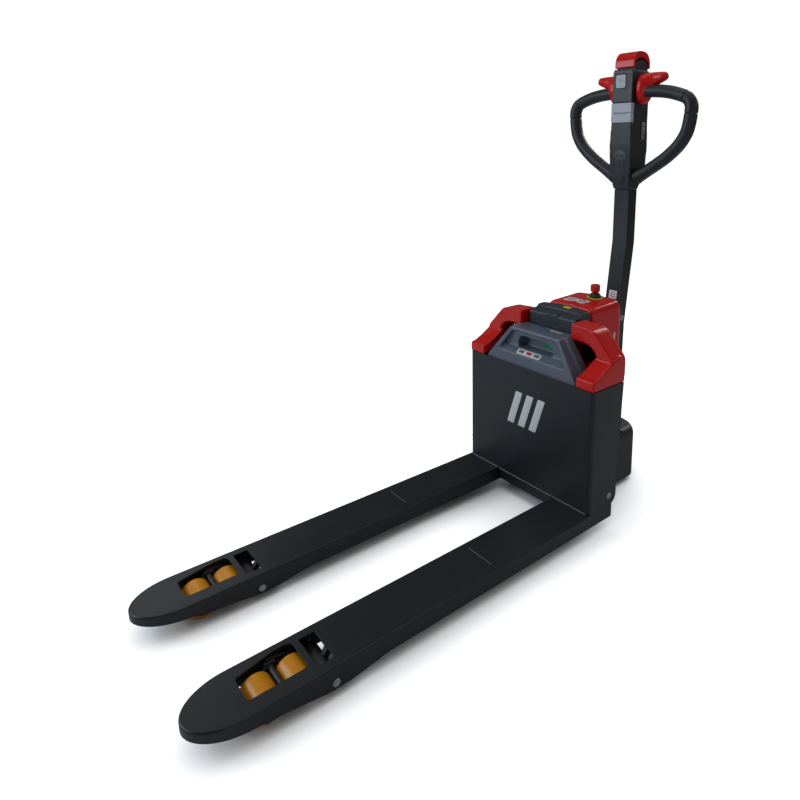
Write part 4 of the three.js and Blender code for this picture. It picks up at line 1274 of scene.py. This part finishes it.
def makeRocker(spec):
    for node, (z0, z1) in spec["keys"].items():
        hollow = brick(*spec["hollow"], z0 - 1, z1 + 1)
        dress(node, carve(node + "_key", [brick(*spec["body"], z0, z1)], [hollow], melt=1.0, relax=5))
    seam = spec["seam"]
    line = [at(x, 443.0 + 0.0006 * x * x, 1295.6 - 2.6 * (1 - (x / seam["half"]) ** 2))
            for x in range(-seam["half"], seam["half"] + 1, seam["step"])]
    radii = [seam["end"]] + [seam["wire"]] * (len(line) - 2) + [seam["end"]]
    trim("lower_button", sweep("rocker_seam", line, radii, 8), "labelInk")


makeRocker(rocker)

grip = {
    "route": [
        (41, 1366), (75, 1366), (113, 1364), (160, 1357), (205, 1344), (226, 1333), (238, 1312),
        (237.5, 1285), (233, 1252), (224, 1222), (200, 1186), (160, 1150), (120, 1123), (80, 1099),
        (45, 1081),
    ],
    "y": 490, "radius": 21, "depth": 0.1, "flare": 5.5,
    "seams": (0.335, 0.445), "seamDepth": 1.9, "seamWidth": 0.0019,
}


def makeGrip(side, spec):
    path = smoothPath([at(hands[side] * x, spec["y"], z) for x, z in spec["route"]], 12)
    lengths = [0]
    for a, b in zip(path, path[1:]):
        lengths.append(lengths[-1] + (b - a).length)
    radii, deepen = [], []
    for run in lengths:
        t = run / lengths[-1]
        swell = min(1, max(0, (t - 0.05) / 0.1))
        deepen.append(1 + spec["depth"] * swell * swell * (3 - 2 * swell))
        radius = spec["radius"]
        for mark in spec["seams"]:
            radius -= spec["seamDepth"] * math.exp(-(((t - mark) * lengths[-1]) / spec["seamWidth"]) ** 2)
        radii.append(radius + spec["flare"] * max(0, (t - 0.88) / 0.12) ** 2)
    dress("grip_loop_" + side, sweep("grip_bar_" + side, path, radii, 40, deepen), "gripFoam")


for side in hands:
    makeGrip(side, grip)

# thumb wings: an egg round the grip that draws out into a blade
# each section: distance out, its middle (y, z) and its half sizes
thumbWing = {"sections": [
    (41.8, 495, 1373, 32, 46), (44, 495, 1374, 36, 50), (50, 495, 1374.5, 37.5, 51),
    (58, 494.5, 1375, 37, 51), (64, 494.5, 1377, 35, 49), (69, 495, 1382, 31.5, 44),
    (74, 495.5, 1388.5, 27.5, 37.5), (80, 496, 1394.5, 24.5, 31.5), (88, 497, 1399.5, 22, 26.5),
    (98, 498, 1403.5, 20, 22.5), (108, 498, 1406, 18.5, 19.5), (118, 498, 1408, 17.5, 17.2),
    (127, 498, 1409.5, 16, 15.4), (134, 498, 1410.5, 13.5, 13), (138.4, 498, 1411, 10, 10),
    (140.6, 498, 1411, 5, 5.5),
]}


def makeWing(side, spec):
    rings = []
    for x, y, z, a, b in spec["sections"]:
        ring = []
        for k in range(36):
            t = 2 * math.pi * k / 36
            c, s = math.cos(t), math.sin(t)
            deep, high = math.copysign(abs(c) ** 0.9, c), math.copysign(abs(s) ** 0.9, s)
            ring.append(at(hands[side] * x, y + a * deep, z + b * high))
        rings.append(ring)
    wing = dress("thumb_wing_" + side, loft("wing_" + side, rings, 70))
    finer = wing.modifiers.new("finer", "SUBSURF")
    finer.levels = finer.render_levels = 1


for side in hands:
    makeWing(side, thumbWing)
print("control head made")

driveCover = {
    "half": 144.6, "front": 160.4, "side": 392, "rear": 466.6, "corner": 46,
    "low": 20, "high": 203.8, "edge": 30, "sheet": 4,
    "opening": [(0, 150), (100, 150), (100, 230), (0, 230)], "openingY": 290,
    "notch": rectangle(102, 136, 330, 352), "frontOpening": (-120, 120, 150, 166, 0, 196),
    "dome": {"y": 434, "z": 198, "size": (34, 26, 27), "tip": 0.5},
}


def coverRing(spec, z, inset):
    half, corner = spec["half"] - inset, spec["corner"]
    ring = [(-half, spec["front"]), (half, spec["front"])]
    ring += arc(half - corner, spec["side"], corner, corner - 2, 0, 72, 8)
    lastX, lastY = ring[-1]
    for k in range(1, 8):
        x = lastX * (1 - k / 4)
        ring.append((x, lastY + (spec["rear"] - inset - lastY) * (1 - (x / lastX) ** 2)))
    ring += [(-x, y) for x, y in reversed(ring[2:11])]
    return [at(x, y, z) for x, y in ring]


def coverShell(spec, inset, low, high):
    edge = spec["edge"]
    rings = [coverRing(spec, low, inset), coverRing(spec, high - edge, inset)]
    for k in range(1, 8):
        a = math.radians(90 * k / 7)
        drawnIn = inset + edge * 0.8 * (1 - math.cos(a))
        rings.append(coverRing(spec, high - edge * (1 - math.sin(a)), drawnIn))
    return loft("cover", rings, 50)


def makeDriveCover(spec):
    low, high, sheet = spec["low"], spec["high"], spec["sheet"]
    opening = lathe("opening", at(0, spec["openingY"], 0), "z", spec["opening"], 64)
    notch = prism("z", roundCorners(spec["notch"], 5), 190, 230)
    cuts = [coverShell(spec, sheet, low - 2, high - sheet), brick(*spec["frontOpening"]), opening, notch]
    dress("drive_cover", carve("drive_cover_shell", [coverShell(spec, 0, low, high)], cuts), "coverBlack")
    dome, rings = spec["dome"], []
    wide, deep, tall = dome["size"]
    for k in range(8):
        a = math.radians(90 * k / 7)
        share = math.cos(a) ** 0.7 if k < 7 else 0
        reach = (wide * share, deep * share) if k < 7 else (dome["tip"], dome["tip"])
        ring = arc(0, dome["y"], *reach, 0, 360, 32)[:-1]
        rings.append([at(x, y, dome["z"] + tall * math.sin(a)) for x, y in ring])
    trim("drive_cover", loft("cover_dome", rings, 60), "glossBlack")


makeDriveCover(driveCover)

driveWheel = {
    "y": 290, "z": 95,
    "tread": [
        (72.6, -34.6), (88.4, -34.6), (92.6, -32.8), (94.6, -29), (95, -24), (95, 24), (94.6, 29),
        (92.6, 32.8), (88.4, 34.6), (72.6, 34.6),
    ],
}
tread = lathe("drive_tread", at(0, driveWheel["y"], driveWheel["z"]), "x", driveWheel["tread"], 96)
dress("drive_tyre", tread)

# the tiller's return spring
spring = {
    "turns": 3.5, "radius": 14.5, "wire": 1.6, "from": -44.6, "to": -59.4, "y": 424, "z": 312, "steps": 112,
}


def makeSpring(spec):
    coil = []
    for i in range(spec["steps"] + 1):
        t = i / spec["steps"]
        a = 2 * math.pi * spec["turns"] * t
        x = spec["from"] + (spec["to"] - spec["from"]) * t
        y, z = spec["radius"] * math.cos(a), spec["radius"] * math.sin(a)
        coil.append(at(x, spec["y"] + y, spec["z"] + z))
    dress("return_spring", sweep("spring_coil", coil, spec["wire"], 10))


makeSpring(spring)

# the arm below its bend runs from the pivot to the bend; label and bolt are placed along it
tillerArm = {
    "pivot": (424, 312), "bend": (491, 850),
    "label": {"along": 346, "wide": 34, "high": 30, "lines": (340, 347, 354)},
    "ringBolt": [(4.2, 29.8), (9.6, 29.8), (9.6, 32.2), (8.6, 33.4), (5.4, 33.4), (4.2, 32.2)],
}


# a point on the arm: along it from the pivot, and forward of its middle line
def onArm(x, along, forward):
    (y0, z0), (y1, z1) = tillerArm["pivot"], tillerArm["bend"]
    lean = math.atan2(y1 - y0, z1 - z0)
    y = y0 + along * math.sin(lean) - forward * math.cos(lean)
    return at(x, y, z0 + along * math.cos(lean) + forward * math.sin(lean))


def makeArmParts(spec):
    up, label = onArm(0, 100, 0) - onArm(0, 0, 0), spec["label"]
    place, wide, high = onArm(0, label["along"], 24), label["wide"], label["high"]
    makePlate("arm_label", "tiller_arm", "labelWhite", place, across, up, wide, high, 0.5, 2)
    for i, along in enumerate(label["lines"]):
        place = onArm(0, along, 24.2)
        makePlate("arm_label_line_%d" % i, "tiller_arm", "labelInk", place, across, up, 24, 2.6, 0.6, 1)
    trim("tiller_arm", lathe("ring_bolt", onArm(0, 264, -4), "x", spec["ringBolt"], 40), "buttonGrey")


makeArmParts(tillerArm)
print("drive cover, wheel and tiller parts made")

# every other solid, with its edges rounded by so many millimetres
softWidths = {
    "front_housing": 1.4, "cross_beam": 1.2, "torsion_shaft": 0.8, "battery_connector": 2.0,
    "chassis_frame": 0.9, "oil_tank": 3.0, "drive_yoke": 1.5, "steering_head": 2.0, "tiller_arm": 4.0,
    "arm_rear_cover": 4.0, "tiller_pin": 0.6, "piston_rod": 0.6, "lift_cylinder": 1.0, "pump_motor": 1.2,
    "slewing_ring": 0.6, "drive_gearbox": 1.2, "drive_motor": 1.2, "drive_hub": 0.8,
}
for side in hands:
    softWidths.update({"wheel_arm_" + side: 0.9, "push_rod_" + side: 0.8})
for node, width in softWidths.items():
    softCopy(node, width, 4 if width >= 3 else 2)
print("remaining solids dressed")
